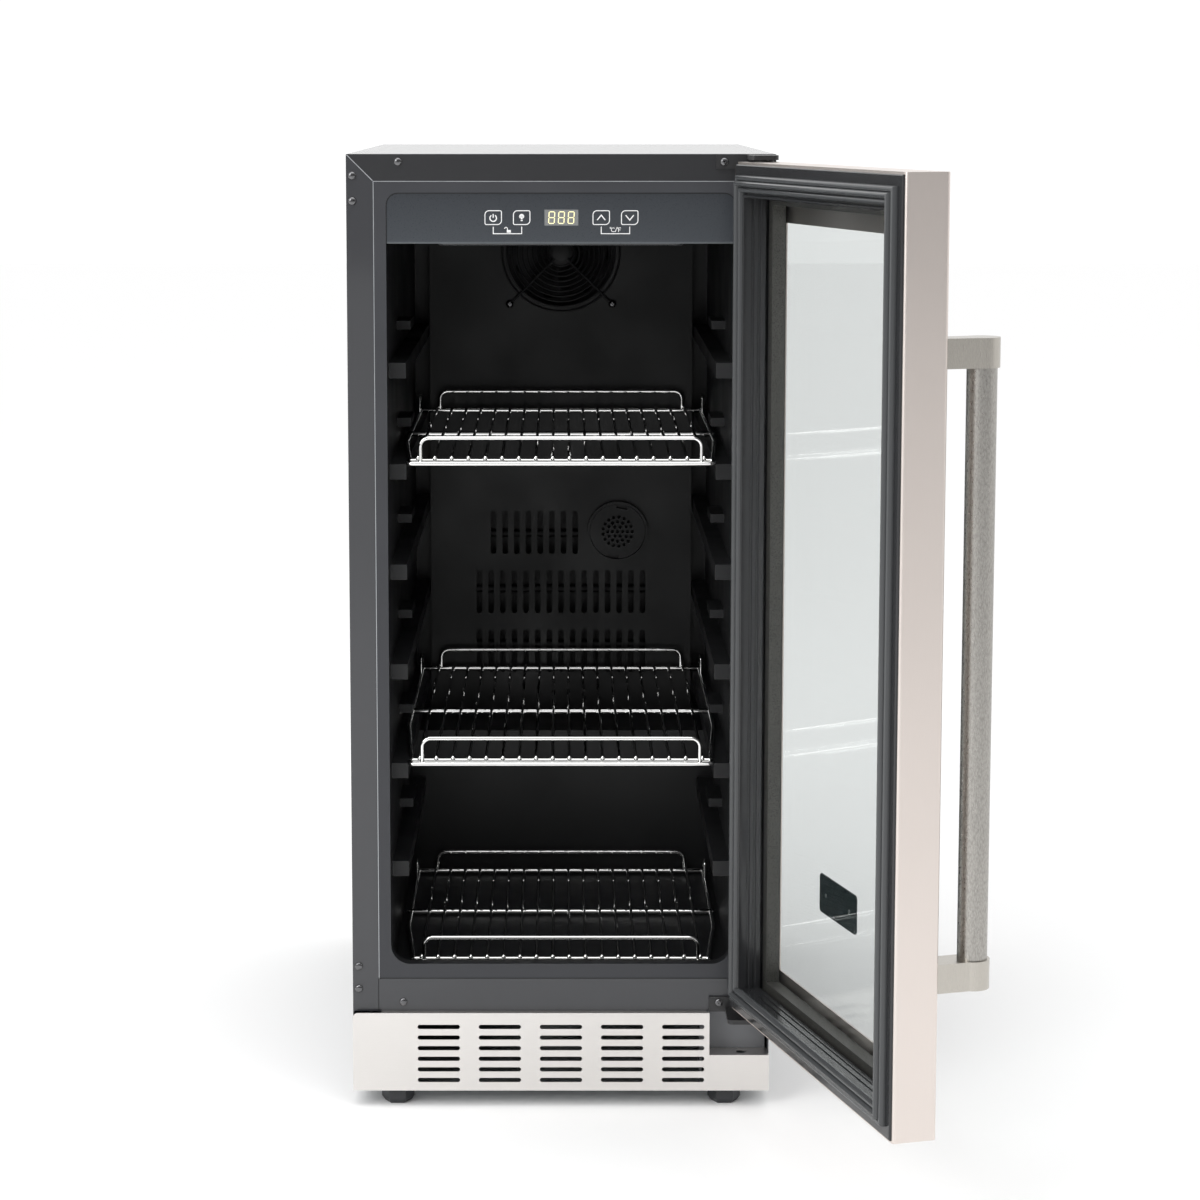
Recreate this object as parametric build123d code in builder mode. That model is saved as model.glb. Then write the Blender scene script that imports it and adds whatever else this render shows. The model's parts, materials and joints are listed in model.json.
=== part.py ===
"""Built-in glass-door beverage cooler, 15 inch class, with its door standing open.

Millimetres. The front faces -Y, +X is to the right seen from the front, +Z is up,
and the origin is on the floor under the middle of the cabinet.
"""

import os

from build123d import *

os.makedirs("parts", exist_ok=True)

# ---- cabinet -------------------------------------------------------------------
width = 380.0
height = 867.0
depth = 565.0  # cabinet only, without the door
foot_height = 15.0
sheet = 1.0
flange = 23.4  # folded steel rim round the front
rail_bottom, rail_top = 88.0, 118.7
left, right = -width / 2, width / 2
front, back = -depth / 2, depth / 2

# ---- liner and insulation ------------------------------------------------------
liner_wall = 1.5
liner_rim_side, liner_rim_top = 11.6, 10.6
liner_rim_bottom = 13.3
mouth_x = width / 2 - flange - liner_rim_side  # half width of the opening
mouth_bottom, mouth_top = rail_top + liner_rim_bottom, height - flange - liner_rim_top
mouth_radius_top, mouth_radius_bottom = 11.0, 18.0
lip_height = 13.5  # of the raised front lip over the cavity floor
floor_z = mouth_bottom - lip_height
sill = 14.0  # depth of the raised front lip
back_wall, bay_depth, hump_height = 35.0, 178.0, 149.5
cavity_depth = depth - back_wall
hump_front, hump_top = depth - bay_depth, floor_z + hump_height  # step over the bay
bay_foam = 26.0
tray_z = rail_bottom + 2.0  # underside of the foam

# ---- shelf ledges --------------------------------------------------------------
first_ledge, ledge_pitch, top_clearance = 100.5, 92.0, 100.0
ledge_top_first = floor_z + first_ledge
ledge_count = int((mouth_top - top_clearance - ledge_top_first) // ledge_pitch) + 1
ledge_height, ledge_reach, ledge_start = 14.0, 15.0, 36.0
stop_gap, stop_height, stop_reach = 20.5, 8.0, 13.0
stop_start, stop_length = 166.0, 60.0
ledge_tops = [ledge_top_first + ledge_pitch * i for i in range(ledge_count)]

# ---- wire shelves --------------------------------------------------------------
bar_r, wire_r, rail_r, ball_r = 2.5, 1.5, 2.0, 2.3
rest_gap = 0.3
weld = 0.3
shelf_side_gap, shelf_taper, rail_inset = 8.0, 8.5, 11.5
shelf_side_x = mouth_x - shelf_side_gap
shelf_front_x = shelf_side_x - shelf_taper
wire_count, wire_edge = 18, 9.3
wire_pitch = 2 * (shelf_front_x - wire_edge) / (wire_count - 1)
rail_x, rail_height, rail_corner = shelf_front_x - rail_inset, 22.0, 8.0
loop_depth, loop_drop = 8.0, 2.0
hook_length, hook_height, hook_setback = 14.0, 19.0, 24.0

# ---- control panel -------------------------------------------------------------
fascia_height, fascia_thick, fascia_recess = 45.0, 2.0, 1.0
fascia_bottom = mouth_top - fascia_height
window_x0, window_x1 = -14.6, 15.3
window_z0, window_z1 = fascia_bottom + 16.0, fascia_bottom + 30.0
key_x = (-60.0, -35.0, 35.0, 60.5)
housing_depth, housing_side = 57.0, 7.0

# ---- rear duct -----------------------------------------------------------------
duct_gap, duct_sheet, duct_side = 30.0, 2.0, 17.0
duct_face, duct_x = cavity_depth - duct_gap, mouth_x - duct_side
fan_drop, fan_opening_r, grille_r, grille_thick = 78.0, 57.0, 61.5, 2.5
fan_z = mouth_top - fan_drop
fan_screw_x = 53.8
slot_w, slot_h, slot_pitch = 6.0, 46.5, 12.4
filter_x, filter_z, filter_r, filter_seat_r = 60.0, hump_top + 192.0, 29.0, 32.0

# ---- kickplate -----------------------------------------------------------------
kick_proud, kick_sheet = 7.0, 1.0
notch_width, notch_z, notch_lip = 54.5, 48.5, 22.0
notch_x = right - notch_width
kick_slot_w, kick_slot_h = 38.6, 4.0
kick_slot_pitch_x, kick_slot_pitch_z, kick_slot_z = 55.8, 10.0, 50.0
lip_hole_inset, lip_hole_r = 25.0, 4.75
lip_hole_x = right - lip_hole_inset

# ---- screws --------------------------------------------------------------------
screw_r, screw_head_r, screw_head_h, screw_length = 2.0, 3.8, 2.2, 8.0
screw_edge, screw_inner_edge = 5.4, 46.0
screw_side_x, screw_inner_x = right - screw_edge, right - screw_inner_edge
screw_side_z = (height - 19.0, height - 41.4, rail_bottom + 42.0, rail_bottom + 21.0)
screw_top_z, screw_rail_z = height - 6.7, rail_bottom + 8.6

# ---- door, measured forwards (d) from the cabinet's front face when shut --------
door_open = 106.3
hinge_edge, hinge_d = 13.0, 30.0
hinge_x = right - hinge_edge
door_gap_bottom, door_gap_top = 10.5, 6.5
door_bottom, door_top = rail_bottom + door_gap_bottom, height - door_gap_top
door_d0, door_d1 = 10.0, 47.5
door_sheet = 1.2
door_return = 17.0
stile, bottom_rail, top_rail = 27.0, 39.5, 52.5
view_x, view_z0, view_z1 = right - stile, door_bottom + bottom_rail, door_top - top_rail
glass_lap, glass_edge_bottom, glass_edge_top = 5.0, 17.5, 22.5
glass_x = view_x + glass_lap
glass_z0, glass_z1 = door_bottom + glass_edge_bottom, door_top - glass_edge_top
glass_thick, glass_gap = 4.0, 12.0
badge_width, badge_height, badge_corner = 84.0, 34.0, 4.0
badge_x, badge_z = 24.0, view_z0 + 97.0
spacer_inset, spacer_width = 4.0, 10.0
inner_lap = 8.0
inner_x, inner_z0, inner_z1 = glass_x - inner_lap, glass_z0 + inner_lap, glass_z1 - inner_lap
door_liner_inset, door_liner_d = 2.0, 8.0
gasket_d, gasket_inset, gasket_width = 0.3, 9.0, 15.0

# ---- hinges --------------------------------------------------------------------
leaf_thick, leaf_plate = 2.5, 4.0
leaf_x0, leaf_leg_x0, leaf_leg_length = notch_x + 1.5, right - 9.0, 48.0
leaf_reach, leaf_top_z, leaf_bottom_h = 42.0, height - 0.5, 14.0
pin_r, pin_length, pin_clearance = 4.0, 16.0, 0.05
bush_r, bush_rim_r, bush_rim = 7.0, 9.0, 1.2

# ---- handle --------------------------------------------------------------------
handle_r, handle_edge, handle_out = 12.0, 16.0, 35.0
handle_low, handle_high = 117.5, 127.5  # from the door's bottom and top
handle_z0, handle_z1 = door_bottom + handle_low, door_top - handle_high
standoff_h, standoff_w = 23.5, 24.0
handle_screw_r, handle_screw_length = 2.5, 22.0

# ---- feet ----------------------------------------------------------------------
foot_edge, rear_foot_edge = 40.0, 22.0
foot_x, rear_foot_x = right - foot_edge, right - rear_foot_edge
foot_in, rear_foot_in, foot_r, foot_base_r = 13.0, 30.0, 15.0, 12.0
foot_pad, stud_r, stud_length, stud_clearance = 14.0, 4.0, 30.0, 0.05
pan_sheet, pan_front, pan_flange = 1.5, 0.5, 18.0
nut_r, nut_height = 9.0, 10.0
foot_travel = 20.0

# ---- compressor bay ------------------------------------------------------------
bay_front = hump_front + liner_wall + bay_foam
bay_roof = hump_top - liner_wall - bay_foam
bay_y = front + (bay_front + depth) / 2
comp_edge, comp_r, comp_h = 90.0, 66.0, 150.0
comp_x = left + comp_edge
comp_plate_x, comp_plate_y, comp_plate = 116.0, 116.0, 3.0
grommet_h, grommet_r = 8.0, 9.0
fan2_gap, fan2_z, fan2_r, fan2_hub = 54.0, 118.0, 52.0, 17.0
cond_x0, cond_x1, cond_z0, cond_z1 = right - 118.0, right - 60.0, 26.0, 204.0
tube_r, tube_pitch, fin_pitch, fin_thick = 4.0, 30.0, 8.0, 0.6
fan2_x = cond_x0 - fan2_gap


def facing(y):
    """Sketch plane across the cabinet at depth y behind its front face."""
    return Plane(origin=(0, front + y, 0), x_dir=(1, 0, 0), z_dir=(0, -1, 0))


def on_door(d):
    """Sketch plane across the open door, d in front of the cabinet when shut."""
    hinge = Pos(hinge_x, front - hinge_d, 0)
    shut = Plane(origin=(0, front - d, 0), x_dir=(1, 0, 0), z_dir=(0, -1, 0))
    return Plane(hinge * Rot(0, 0, door_open) * hinge.inverse() * shut.location)


def door_level(z):
    """Sketch plane level with the floor, turned with the door about its hinge."""
    hinge = Pos(hinge_x, front - hinge_d, z)
    return Plane(hinge * Rot(0, 0, door_open))


def span(x0, y0, x1, y1, mode=Mode.ADD):
    """Rectangle between two corners in the sketch being drawn."""
    with Locations(((x0 + x1) / 2, (y0 + y1) / 2)):
        Rectangle(x1 - x0, y1 - y0, mode=mode)


def bar(points, radius, corner):
    """Round bar bent along the points, with the same radius at each corner."""
    with BuildLine() as path:
        if len(points) > 2:
            FilletPolyline(*points, radius=corner)
        else:
            Line(*points)
    with BuildSketch(Plane(origin=path.line @ 0, z_dir=path.line % 0)) as section:
        Circle(radius)
    sweep(section.sketch, path=path.line)


def bent_wire(points, radius, corner):
    """One bent wire as a solid of its own, to be welded to others."""
    with BuildPart() as wire:
        bar(points, radius, corner)
    return wire.part


def side_profile(grow, y_start):
    """Half section of the cavity along the cabinet, grown outwards by a wall."""
    Polygon(
        (front + y_start, floor_z - grow),
        (front + hump_front + grow, floor_z - grow),
        (front + hump_front + grow, hump_top - grow),
        (front + cavity_depth + grow, hump_top - grow),
        (front + cavity_depth + grow, mouth_top + grow),
        (front + y_start, mouth_top + grow),
        align=None,
    )


def mouth(grow):
    """Outline of the cabinet's mouth with its rounded corners."""
    with BuildSketch(mode=Mode.PRIVATE) as outline:
        span(-mouth_x - grow, mouth_bottom - grow, mouth_x + grow, mouth_top + grow)
        rows = outline.vertices().group_by(Axis.Y)
        fillet(rows[0], mouth_radius_bottom + grow)
        fillet(outline.vertices().group_by(Axis.Y)[-1], mouth_radius_top + grow)
    return outline.sketch_local


plug_points = [(-screw_side_x, z) for z in screw_side_z]
plug_points += [(-screw_inner_x, screw_top_z), (-screw_inner_x, screw_rail_z)]
hinge_points = [(-x, z) for x, z in plug_points]


def save(part, label):
    """Name the piece and write it as a STEP file."""
    part.label = label
    export_step(part, f"parts/{label}.step")


# ================================================================== cabinet shell
with BuildPart() as outer_wrapper:
    with BuildSketch(facing(0)):
        span(left, foot_height, right, height)
        span(left + sheet, foot_height, right - sheet, height - sheet, Mode.SUBTRACT)
    extrude(amount=-depth)
    with BuildSketch(facing(0)):
        span(left, rail_bottom, right, height)
        span(left + flange, rail_bottom, right - flange, height - flange, Mode.SUBTRACT)
    extrude(amount=-sheet)
    fillet(outer_wrapper.edges().filter_by(Axis.Y).group_by(Axis.Z)[-1], sheet)
    with BuildSketch(facing(0)):
        with Locations(*plug_points, *hinge_points):
            Circle(screw_r)
    extrude(amount=-sheet, mode=Mode.SUBTRACT)
save(outer_wrapper.part, "outer_wrapper")

with BuildPart() as front_rail:
    with BuildSketch(facing(0)):
        span(left + flange, rail_bottom, right - flange, rail_top)
        with Locations((-screw_inner_x, screw_rail_z), (screw_inner_x, screw_rail_z)):
            Circle(screw_r, mode=Mode.SUBTRACT)
    extrude(amount=-sheet)
    with BuildSketch(facing(0)):
        span(left + flange, rail_bottom, right - flange, rail_bottom + sheet)
    extrude(amount=-25)
save(front_rail.part, "front_rail")

with BuildPart() as inner_liner:
    with BuildSketch(Plane.YZ.offset(-mouth_x - liner_wall)):
        side_profile(liner_wall, sill - liner_wall)
    extrude(amount=2 * (mouth_x + liner_wall))
    with BuildSketch(facing(0)):
        add(mouth(liner_wall))
    extrude(amount=-sill)
    with BuildSketch(facing(0)):
        span(
            -mouth_x - liner_rim_side,
            rail_top,
            mouth_x + liner_rim_side,
            mouth_top + liner_rim_top,
        )
    extrude(amount=-liner_wall)
    with BuildSketch(Plane.YZ.offset(-mouth_x)):
        side_profile(0, sill)
    extrude(amount=2 * mouth_x, mode=Mode.SUBTRACT)
    with BuildSketch(facing(0)):
        add(mouth(0))
    extrude(amount=-sill - liner_wall, mode=Mode.SUBTRACT)
    for tops, y_end in ((ledge_tops[:1], hump_front), (ledge_tops[1:], cavity_depth)):
        with BuildSketch(facing(ledge_start)):
            for top in tops:
                span(-mouth_x - liner_wall / 2, top - ledge_height, -mouth_x + ledge_reach, top)
                span(mouth_x - ledge_reach, top - ledge_height, mouth_x + liner_wall / 2, top)
        extrude(amount=-(y_end - ledge_start))
    with BuildSketch(facing(stop_start)):
        for top in ledge_tops:
            z0, z1 = top + stop_gap, top + stop_gap + stop_height
            span(-mouth_x - liner_wall / 2, z0, -mouth_x + stop_reach, z1)
            span(mouth_x - stop_reach, z0, mouth_x + liner_wall / 2, z1)
    extrude(amount=-stop_length)
save(inner_liner.part, "inner_liner")

with BuildPart() as insulation_foam:
    with BuildSketch(Plane.YZ.offset(left + sheet)):
        with BuildLine():
            Polyline(
                (front + liner_wall, tray_z),
                (front + bay_front, tray_z),
                (front + bay_front, bay_roof),
                (back - sheet, bay_roof),
                (back - sheet, height - sheet),
                (front + liner_wall, height - sheet),
                close=True,
            )
        make_face()
    extrude(amount=width - 2 * sheet)
    with BuildSketch(Plane.YZ.offset(-mouth_x - liner_wall)):
        side_profile(liner_wall, sill - liner_wall)
    extrude(amount=2 * (mouth_x + liner_wall), mode=Mode.SUBTRACT)
    with BuildSketch(facing(0)):
        add(mouth(liner_wall))
    extrude(amount=-sill, mode=Mode.SUBTRACT)
    with BuildSketch(facing(liner_wall)):
        with Locations(*plug_points, *hinge_points):
            Circle(screw_r + 0.5)
    extrude(amount=-screw_length, mode=Mode.SUBTRACT)
save(insulation_foam.part, "insulation_foam")

with BuildPart() as foam_tray:
    with BuildSketch(Plane.YZ.offset(left + sheet)):
        with BuildLine():
            Polyline(
                (front + sheet, tray_z - sheet),
                (front + bay_front + sheet, tray_z - sheet),
                (front + bay_front + sheet, bay_roof - sheet),
                (back - sheet, bay_roof - sheet),
                (back - sheet, bay_roof),
                (front + bay_front, bay_roof),
                (front + bay_front, tray_z),
                (front + sheet, tray_z),
                close=True,
            )
        make_face()
    extrude(amount=width - 2 * sheet)
save(foam_tray.part, "foam_tray")

with BuildPart() as back_panel:
    with BuildSketch(facing(depth - sheet)):
        span(left + sheet, bay_roof - sheet, right - sheet, height - sheet)
    extrude(amount=-sheet)
save(back_panel.part, "back_panel")

with BuildPart() as base_pan:
    with BuildSketch(Plane.XY.offset(foot_height)):
        span(left + sheet, front + pan_front, right - sheet, back - sheet)
        with Locations(
            (-foot_x, front + foot_in),
            (foot_x, front + foot_in),
            (-rear_foot_x, back - rear_foot_in),
            (rear_foot_x, back - rear_foot_in),
        ):
            Circle(stud_r + 1, mode=Mode.SUBTRACT)
    extrude(amount=pan_sheet)
    with BuildSketch(Plane.XY.offset(foot_height)):
        span(left + sheet, front + pan_front, left + sheet + pan_sheet, back - sheet)
        span(right - sheet - pan_sheet, front + pan_front, right - sheet, back - sheet)
    extrude(amount=pan_flange)
save(base_pan.part, "base_pan")

with BuildPart() as kickplate:
    with BuildSketch(facing(-kick_proud)) as face:
        span(left, foot_height, right, rail_bottom)
        fillet(face.vertices().group_by(Axis.X)[0].sort_by(Axis.Y)[-1], 5)
        span(notch_x, notch_z, right, rail_bottom, Mode.SUBTRACT)
        with Locations((0, kick_slot_z)):
            with GridLocations(kick_slot_pitch_x, kick_slot_pitch_z, 5, 6):
                SlotOverall(kick_slot_w, kick_slot_h, mode=Mode.SUBTRACT)
    extrude(amount=-kick_sheet)
    with BuildSketch(Plane.XY.offset(rail_bottom - kick_sheet)):
        span(left + 26, front - kick_proud, notch_x - 2.5, front)
    extrude(amount=kick_sheet)
    with BuildSketch(Plane.XY.offset(notch_z - kick_sheet)):
        span(notch_x, front - kick_proud, right - sheet, front - kick_proud + notch_lip)
        with Locations((lip_hole_x, front - kick_proud + notch_lip / 2)):
            Circle(lip_hole_r, mode=Mode.SUBTRACT)
    extrude(amount=kick_sheet)
    with BuildSketch(Plane.XY.offset(foot_height)):
        span(left, front - kick_proud, left + kick_sheet, front)
        span(right - kick_sheet, front - kick_proud, right, front)
    extrude(amount=notch_z - foot_height)
save(kickplate.part, "kickplate")

with BuildPart() as hinge_plugs:
    with BuildSketch(facing(0)):
        with Locations(*plug_points):
            Circle(screw_head_r)
    extrude(amount=screw_head_h)
    fillet(hinge_plugs.edges().group_by(Axis.Y)[0], screw_head_h * 0.7)
    with BuildSketch(facing(0)):
        with Locations(*plug_points):
            Circle(screw_r)
    extrude(amount=-screw_length)
save(hinge_plugs.part, "hinge_plugs")

# ======================================================================== hinges
leaf_bottom_z = rail_bottom
door_bottom_leaf = leaf_bottom_z + leaf_plate

with BuildPart() as top_hinge_bracket:
    with BuildSketch(facing(0)):
        span(leaf_x0, leaf_top_z - 12.5, right - 0.5, leaf_top_z)
        span(leaf_leg_x0, leaf_top_z - leaf_leg_length, right - 0.5, leaf_top_z)
        with Locations(*[p for p in hinge_points if p[1] > height / 2]):
            Circle(screw_r, mode=Mode.SUBTRACT)
    extrude(amount=leaf_thick)
    with BuildSketch(Plane.XY.offset(leaf_top_z - leaf_plate)) as plate:
        span(hinge_x - 13, front - leaf_reach, right - 0.5, front - leaf_thick)
        fillet(plate.vertices().group_by(Axis.Y)[0], 5)
    extrude(amount=leaf_plate)
    with BuildSketch(Plane.XY.offset(leaf_top_z - leaf_plate - pin_length)):
        with Locations((hinge_x, front - hinge_d)):
            Circle(pin_r)
    extrude(amount=pin_length)
save(top_hinge_bracket.part, "top_hinge_bracket")

with BuildPart() as bottom_hinge_bracket:
    with BuildSketch(facing(0)):
        span(leaf_x0 - 2, leaf_bottom_z, right - 0.5, leaf_bottom_z + leaf_bottom_h)
        span(leaf_leg_x0, leaf_bottom_z, right - 0.5, leaf_bottom_z + leaf_leg_length)
        with Locations(*[p for p in hinge_points if p[1] < height / 2]):
            Circle(screw_r, mode=Mode.SUBTRACT)
    extrude(amount=leaf_thick)
    with BuildSketch(Plane.XY.offset(leaf_bottom_z)) as plate:
        span(hinge_x - 27, front - leaf_reach, right - 0.5, front - leaf_thick)
        fillet(plate.vertices().group_by(Axis.Y)[0], 5)
    extrude(amount=leaf_plate)
    with BuildSketch(Plane.XY.offset(door_bottom_leaf)):
        with Locations((hinge_x, front - hinge_d)):
            Circle(bush_r)
    extrude(amount=door_bottom - bush_rim - door_bottom_leaf - 0.5)
    with BuildSketch(Plane.XY.offset(door_bottom_leaf)):
        with Locations((hinge_x, front - hinge_d)):
            Circle(pin_r)
    extrude(amount=door_bottom - door_bottom_leaf + pin_length - 4)
save(bottom_hinge_bracket.part, "bottom_hinge_bracket")

with BuildPart() as hinge_screws:
    with BuildSketch(facing(-leaf_thick)):
        with Locations(*hinge_points):
            Circle(screw_head_r)
    extrude(amount=screw_head_h)
    fillet(hinge_screws.edges().group_by(Axis.Y)[0], screw_head_h * 0.7)
    with BuildSketch(facing(-leaf_thick)):
        with Locations(*hinge_points):
            Circle(screw_r)
    extrude(amount=-screw_length)
save(hinge_screws.part, "hinge_screws")

with BuildPart() as hinge_support:
    # a plate that closes the notch just behind the kickplate's lip, on two legs
    plate_y = front - kick_proud + notch_lip + 0.5
    leg_x0, leg_x1 = notch_x - 8, right - sheet - pan_sheet - 0.3
    with BuildSketch(Plane.XY.offset(notch_z - kick_sheet)):
        span(leg_x0, plate_y, leg_x1, plate_y + 2)
    extrude(amount=rail_bottom - notch_z + kick_sheet)
    with BuildSketch(Plane.XY.offset(foot_height + pan_sheet)):
        span(leg_x0, plate_y, leg_x0 + 2, plate_y + 42)
        span(leg_x1 - 2, plate_y, leg_x1, plate_y + 42)
    extrude(amount=rail_bottom - foot_height - pan_sheet)
save(hinge_support.part, "hinge_support")

# ================================================================= control panel
with BuildPart() as control_fascia:
    with BuildSketch(facing(fascia_recess)) as face:
        span(-mouth_x + 0.2, fascia_bottom, mouth_x - 0.2, mouth_top - 0.2)
        fillet(face.vertices().group_by(Axis.Y)[-1], mouth_radius_top)
        span(window_x0, window_z0, window_x1, window_z1, Mode.SUBTRACT)
    extrude(amount=-fascia_thick)
    with BuildSketch(facing(fascia_recess + fascia_thick)):
        post_z = (fascia_bottom + 12, mouth_top - 9)
        with Locations(*[(x, z) for x in (-70, 70) for z in post_z]):
            Circle(2.5)
    extrude(amount=-5)
save(control_fascia.part, "control_fascia")

with BuildPart() as display_window:
    with BuildSketch(facing(fascia_recess)):
        span(window_x0, window_z0, window_x1, window_z1)
    extrude(amount=-fascia_thick)
save(display_window.part, "display_window")

with BuildPart() as control_board:
    board_face = fascia_recess + fascia_thick + 5
    with BuildSketch(facing(board_face)):
        span(-78, fascia_bottom + 8, 78, mouth_top - 5)
    extrude(amount=-1.6)
    with BuildSketch(facing(board_face)):
        span(window_x0 + 1, window_z0 + 1, window_x1 - 1, window_z1 - 1)
        with Locations(*[(x, (window_z0 + window_z1) / 2) for x in key_x]):
            Circle(4)
    extrude(amount=4)
    with BuildSketch(facing(board_face + 1.6)):
        span(-60, fascia_bottom + 15, -30, mouth_top - 11)
        span(20, fascia_bottom + 18, 34, mouth_top - 13)
        span(44, fascia_bottom + 16, 62, mouth_top - 19)
    extrude(amount=-9)
save(control_board.part, "control_board")

with BuildPart() as control_housing:
    housing_y = fascia_recess + fascia_thick
    with BuildSketch(facing(housing_y)):
        housing_x = mouth_x - housing_side
        span(-housing_x, fascia_bottom + 1, housing_x, mouth_top - 1)
    extrude(amount=-housing_depth)
    fillet(control_housing.edges().filter_by(Axis.Y).group_by(Axis.Z)[-1], 10)
    with BuildSketch(facing(housing_y)):
        span(-housing_x + 1.5, fascia_bottom + 2.5, housing_x - 1.5, mouth_top - 12)
    extrude(amount=-housing_depth + 1.5, mode=Mode.SUBTRACT)
    with BuildSketch(facing(housing_y)):
        span(-housing_x + 12, fascia_bottom + 2.5, housing_x - 12, mouth_top - 2.5)
    extrude(amount=-housing_depth + 1.5, mode=Mode.SUBTRACT)
save(control_housing.part, "control_housing")

with BuildPart() as led_strip:
    with BuildSketch(Plane.XY.offset(fascia_bottom + 1)) as strip:
        with Locations((0, front + 34)):
            SlotOverall(220, 12)
    extrude(amount=-4)
    fillet(led_strip.edges().group_by(Axis.Z)[0], 2)
save(led_strip.part, "led_strip")

# ===================================================================== rear duct
row_top, row_mid, row_low = hump_top + 190.3, hump_top + 126.7, hump_top + 62.7
row_short_x = -28.3
fan_screw_points = [
    (sx * fan_screw_x, fan_z + sz * fan_screw_x) for sx in (-1, 1) for sz in (-1, 1)
]

with BuildPart() as rear_duct_panel:
    with BuildSketch(facing(duct_face)):
        span(-duct_x, hump_top, duct_x, mouth_top)
        with Locations((0, fan_z)):
            Circle(fan_opening_r, mode=Mode.SUBTRACT)
        with Locations(*fan_screw_points):
            Circle(screw_r, mode=Mode.SUBTRACT)
        with Locations((filter_x, filter_z)):
            Circle(24, mode=Mode.SUBTRACT)
        with Locations((row_short_x, row_top)):
            with GridLocations(slot_pitch, slot_h, 8, 1):
                SlotOverall(slot_h, slot_w, rotation=90, mode=Mode.SUBTRACT)
        with Locations((0, row_mid), (0, row_low)):
            with GridLocations(slot_pitch, slot_h, 15, 1):
                SlotOverall(slot_h, slot_w, rotation=90, mode=Mode.SUBTRACT)
    extrude(amount=-duct_sheet)
    with BuildSketch(facing(duct_face + duct_sheet)):
        span(-duct_x, hump_top, -duct_x + duct_sheet, mouth_top)
        span(duct_x - duct_sheet, hump_top, duct_x, mouth_top)
    extrude(amount=-(cavity_depth - duct_face - duct_sheet))
    with BuildSketch(facing(duct_face)):
        with Locations((filter_x, filter_z)):
            Circle(filter_seat_r)
            Circle(filter_r + 0.6, mode=Mode.SUBTRACT)
    extrude(amount=6)
save(rear_duct_panel.part, "rear_duct_panel")

with BuildPart() as fan_grille:
    with BuildSketch(facing(duct_face)):
        with Locations((0, fan_z)):
            Circle(grille_r)
            Circle(grille_r - 4, mode=Mode.SUBTRACT)
            for r in range(14, 56, 6):
                Circle(r + 1)
                Circle(r - 1, mode=Mode.SUBTRACT)
                with PolarLocations(0, 4, start_angle=45):
                    Rectangle(2 * grille_r - 4, 2.2)
            Circle(9)
        with Locations(*fan_screw_points):
            Circle(4.2)
            Circle(screw_r, mode=Mode.SUBTRACT)
    extrude(amount=grille_thick)
save(fan_grille.part, "fan_grille")

with BuildPart() as evaporator_fan_motor:
    with BuildSketch(facing(cavity_depth)):
        with Locations((0, fan_z)):
            Circle(20)
            with PolarLocations(0, 3):
                Rectangle(112, 7)
    extrude(amount=2)
    with BuildSketch(facing(cavity_depth - 2)):
        with Locations((0, fan_z)):
            Circle(17)
    extrude(amount=6)
    with BuildSketch(facing(cavity_depth - 8)):
        with Locations((0, fan_z)):
            Circle(2)
    extrude(amount=14)
save(evaporator_fan_motor.part, "evaporator_fan_motor")

with BuildPart() as evaporator_fan_rotor:
    with BuildSketch(facing(cavity_depth - 8.6)):
        with Locations((0, fan_z)):
            Circle(16)
    extrude(amount=16)
    hub_middle = Plane(facing(cavity_depth - 16).location * Pos(0, fan_z, 0))
    with Locations(hub_middle):
        with PolarLocations(33, 7):
            Box(38, 26, 1.4, rotation=(26, 0, 0))
    fillet(evaporator_fan_rotor.edges().group_by(Axis.Y)[0].filter_by(GeomType.CIRCLE), 2)
    with BuildSketch(facing(cavity_depth)):
        with Locations((0, fan_z)):
            Circle(2 + pin_clearance)
    extrude(amount=24, mode=Mode.SUBTRACT)
save(evaporator_fan_rotor.part, "evaporator_fan_rotor")

with BuildPart() as evaporator_coil:
    with BuildSketch(facing(cavity_depth)):
        coil_x, coil_z0, coil_z1 = duct_x - 20, hump_top + 24, fan_z - 79
        span(-coil_x, coil_z0, coil_x, coil_z1)
    extrude(amount=1.6)
    rows = [coil_z0 + 12 + 30 * i for i in range(int((coil_z1 - coil_z0 - 24) // 30) + 1)]
    points = []
    for i, z in enumerate(rows):
        ends = (12 - coil_x, coil_x - 12) if i % 2 == 0 else (coil_x - 12, 12 - coil_x)
        points += [(x, front + cavity_depth - 1.6 - tube_r, z) for x in ends]
    bar(points, tube_r, tube_pitch / 2 - 1)
save(evaporator_coil.part, "evaporator_coil")

with BuildPart() as filter_cartridge:
    with BuildSketch(facing(duct_face + 0.5)):
        with Locations((filter_x, filter_z)):
            Circle(23)
    extrude(amount=-18)
save(filter_cartridge.part, "filter_cartridge")

with BuildPart() as filter_cover:
    with BuildSketch(facing(duct_face - 0.4)):
        with Locations((filter_x, filter_z)):
            Circle(filter_r)
            with PolarLocations(filter_r - 1, 2, start_angle=80):
                Rectangle(7, 12, mode=Mode.SUBTRACT)
            for r in (5.5, 10.5, 15.5):
                with PolarLocations(r, int(r * 1.15)):
                    Circle(1.7, mode=Mode.SUBTRACT)
            Circle(1.7, mode=Mode.SUBTRACT)
    extrude(amount=4)
save(filter_cover.part, "filter_cover")

with BuildPart() as panel_screws:
    with BuildSketch(facing(duct_face - grille_thick)):
        with Locations(*fan_screw_points):
            Circle(screw_head_r)
    extrude(amount=screw_head_h)
    fillet(panel_screws.edges().group_by(Axis.Y)[0], screw_head_h * 0.7)
    with BuildSketch(facing(duct_face - grille_thick)):
        with Locations(*fan_screw_points):
            Circle(screw_r)
    extrude(amount=-screw_length)
save(panel_screws.part, "panel_screws")

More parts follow.
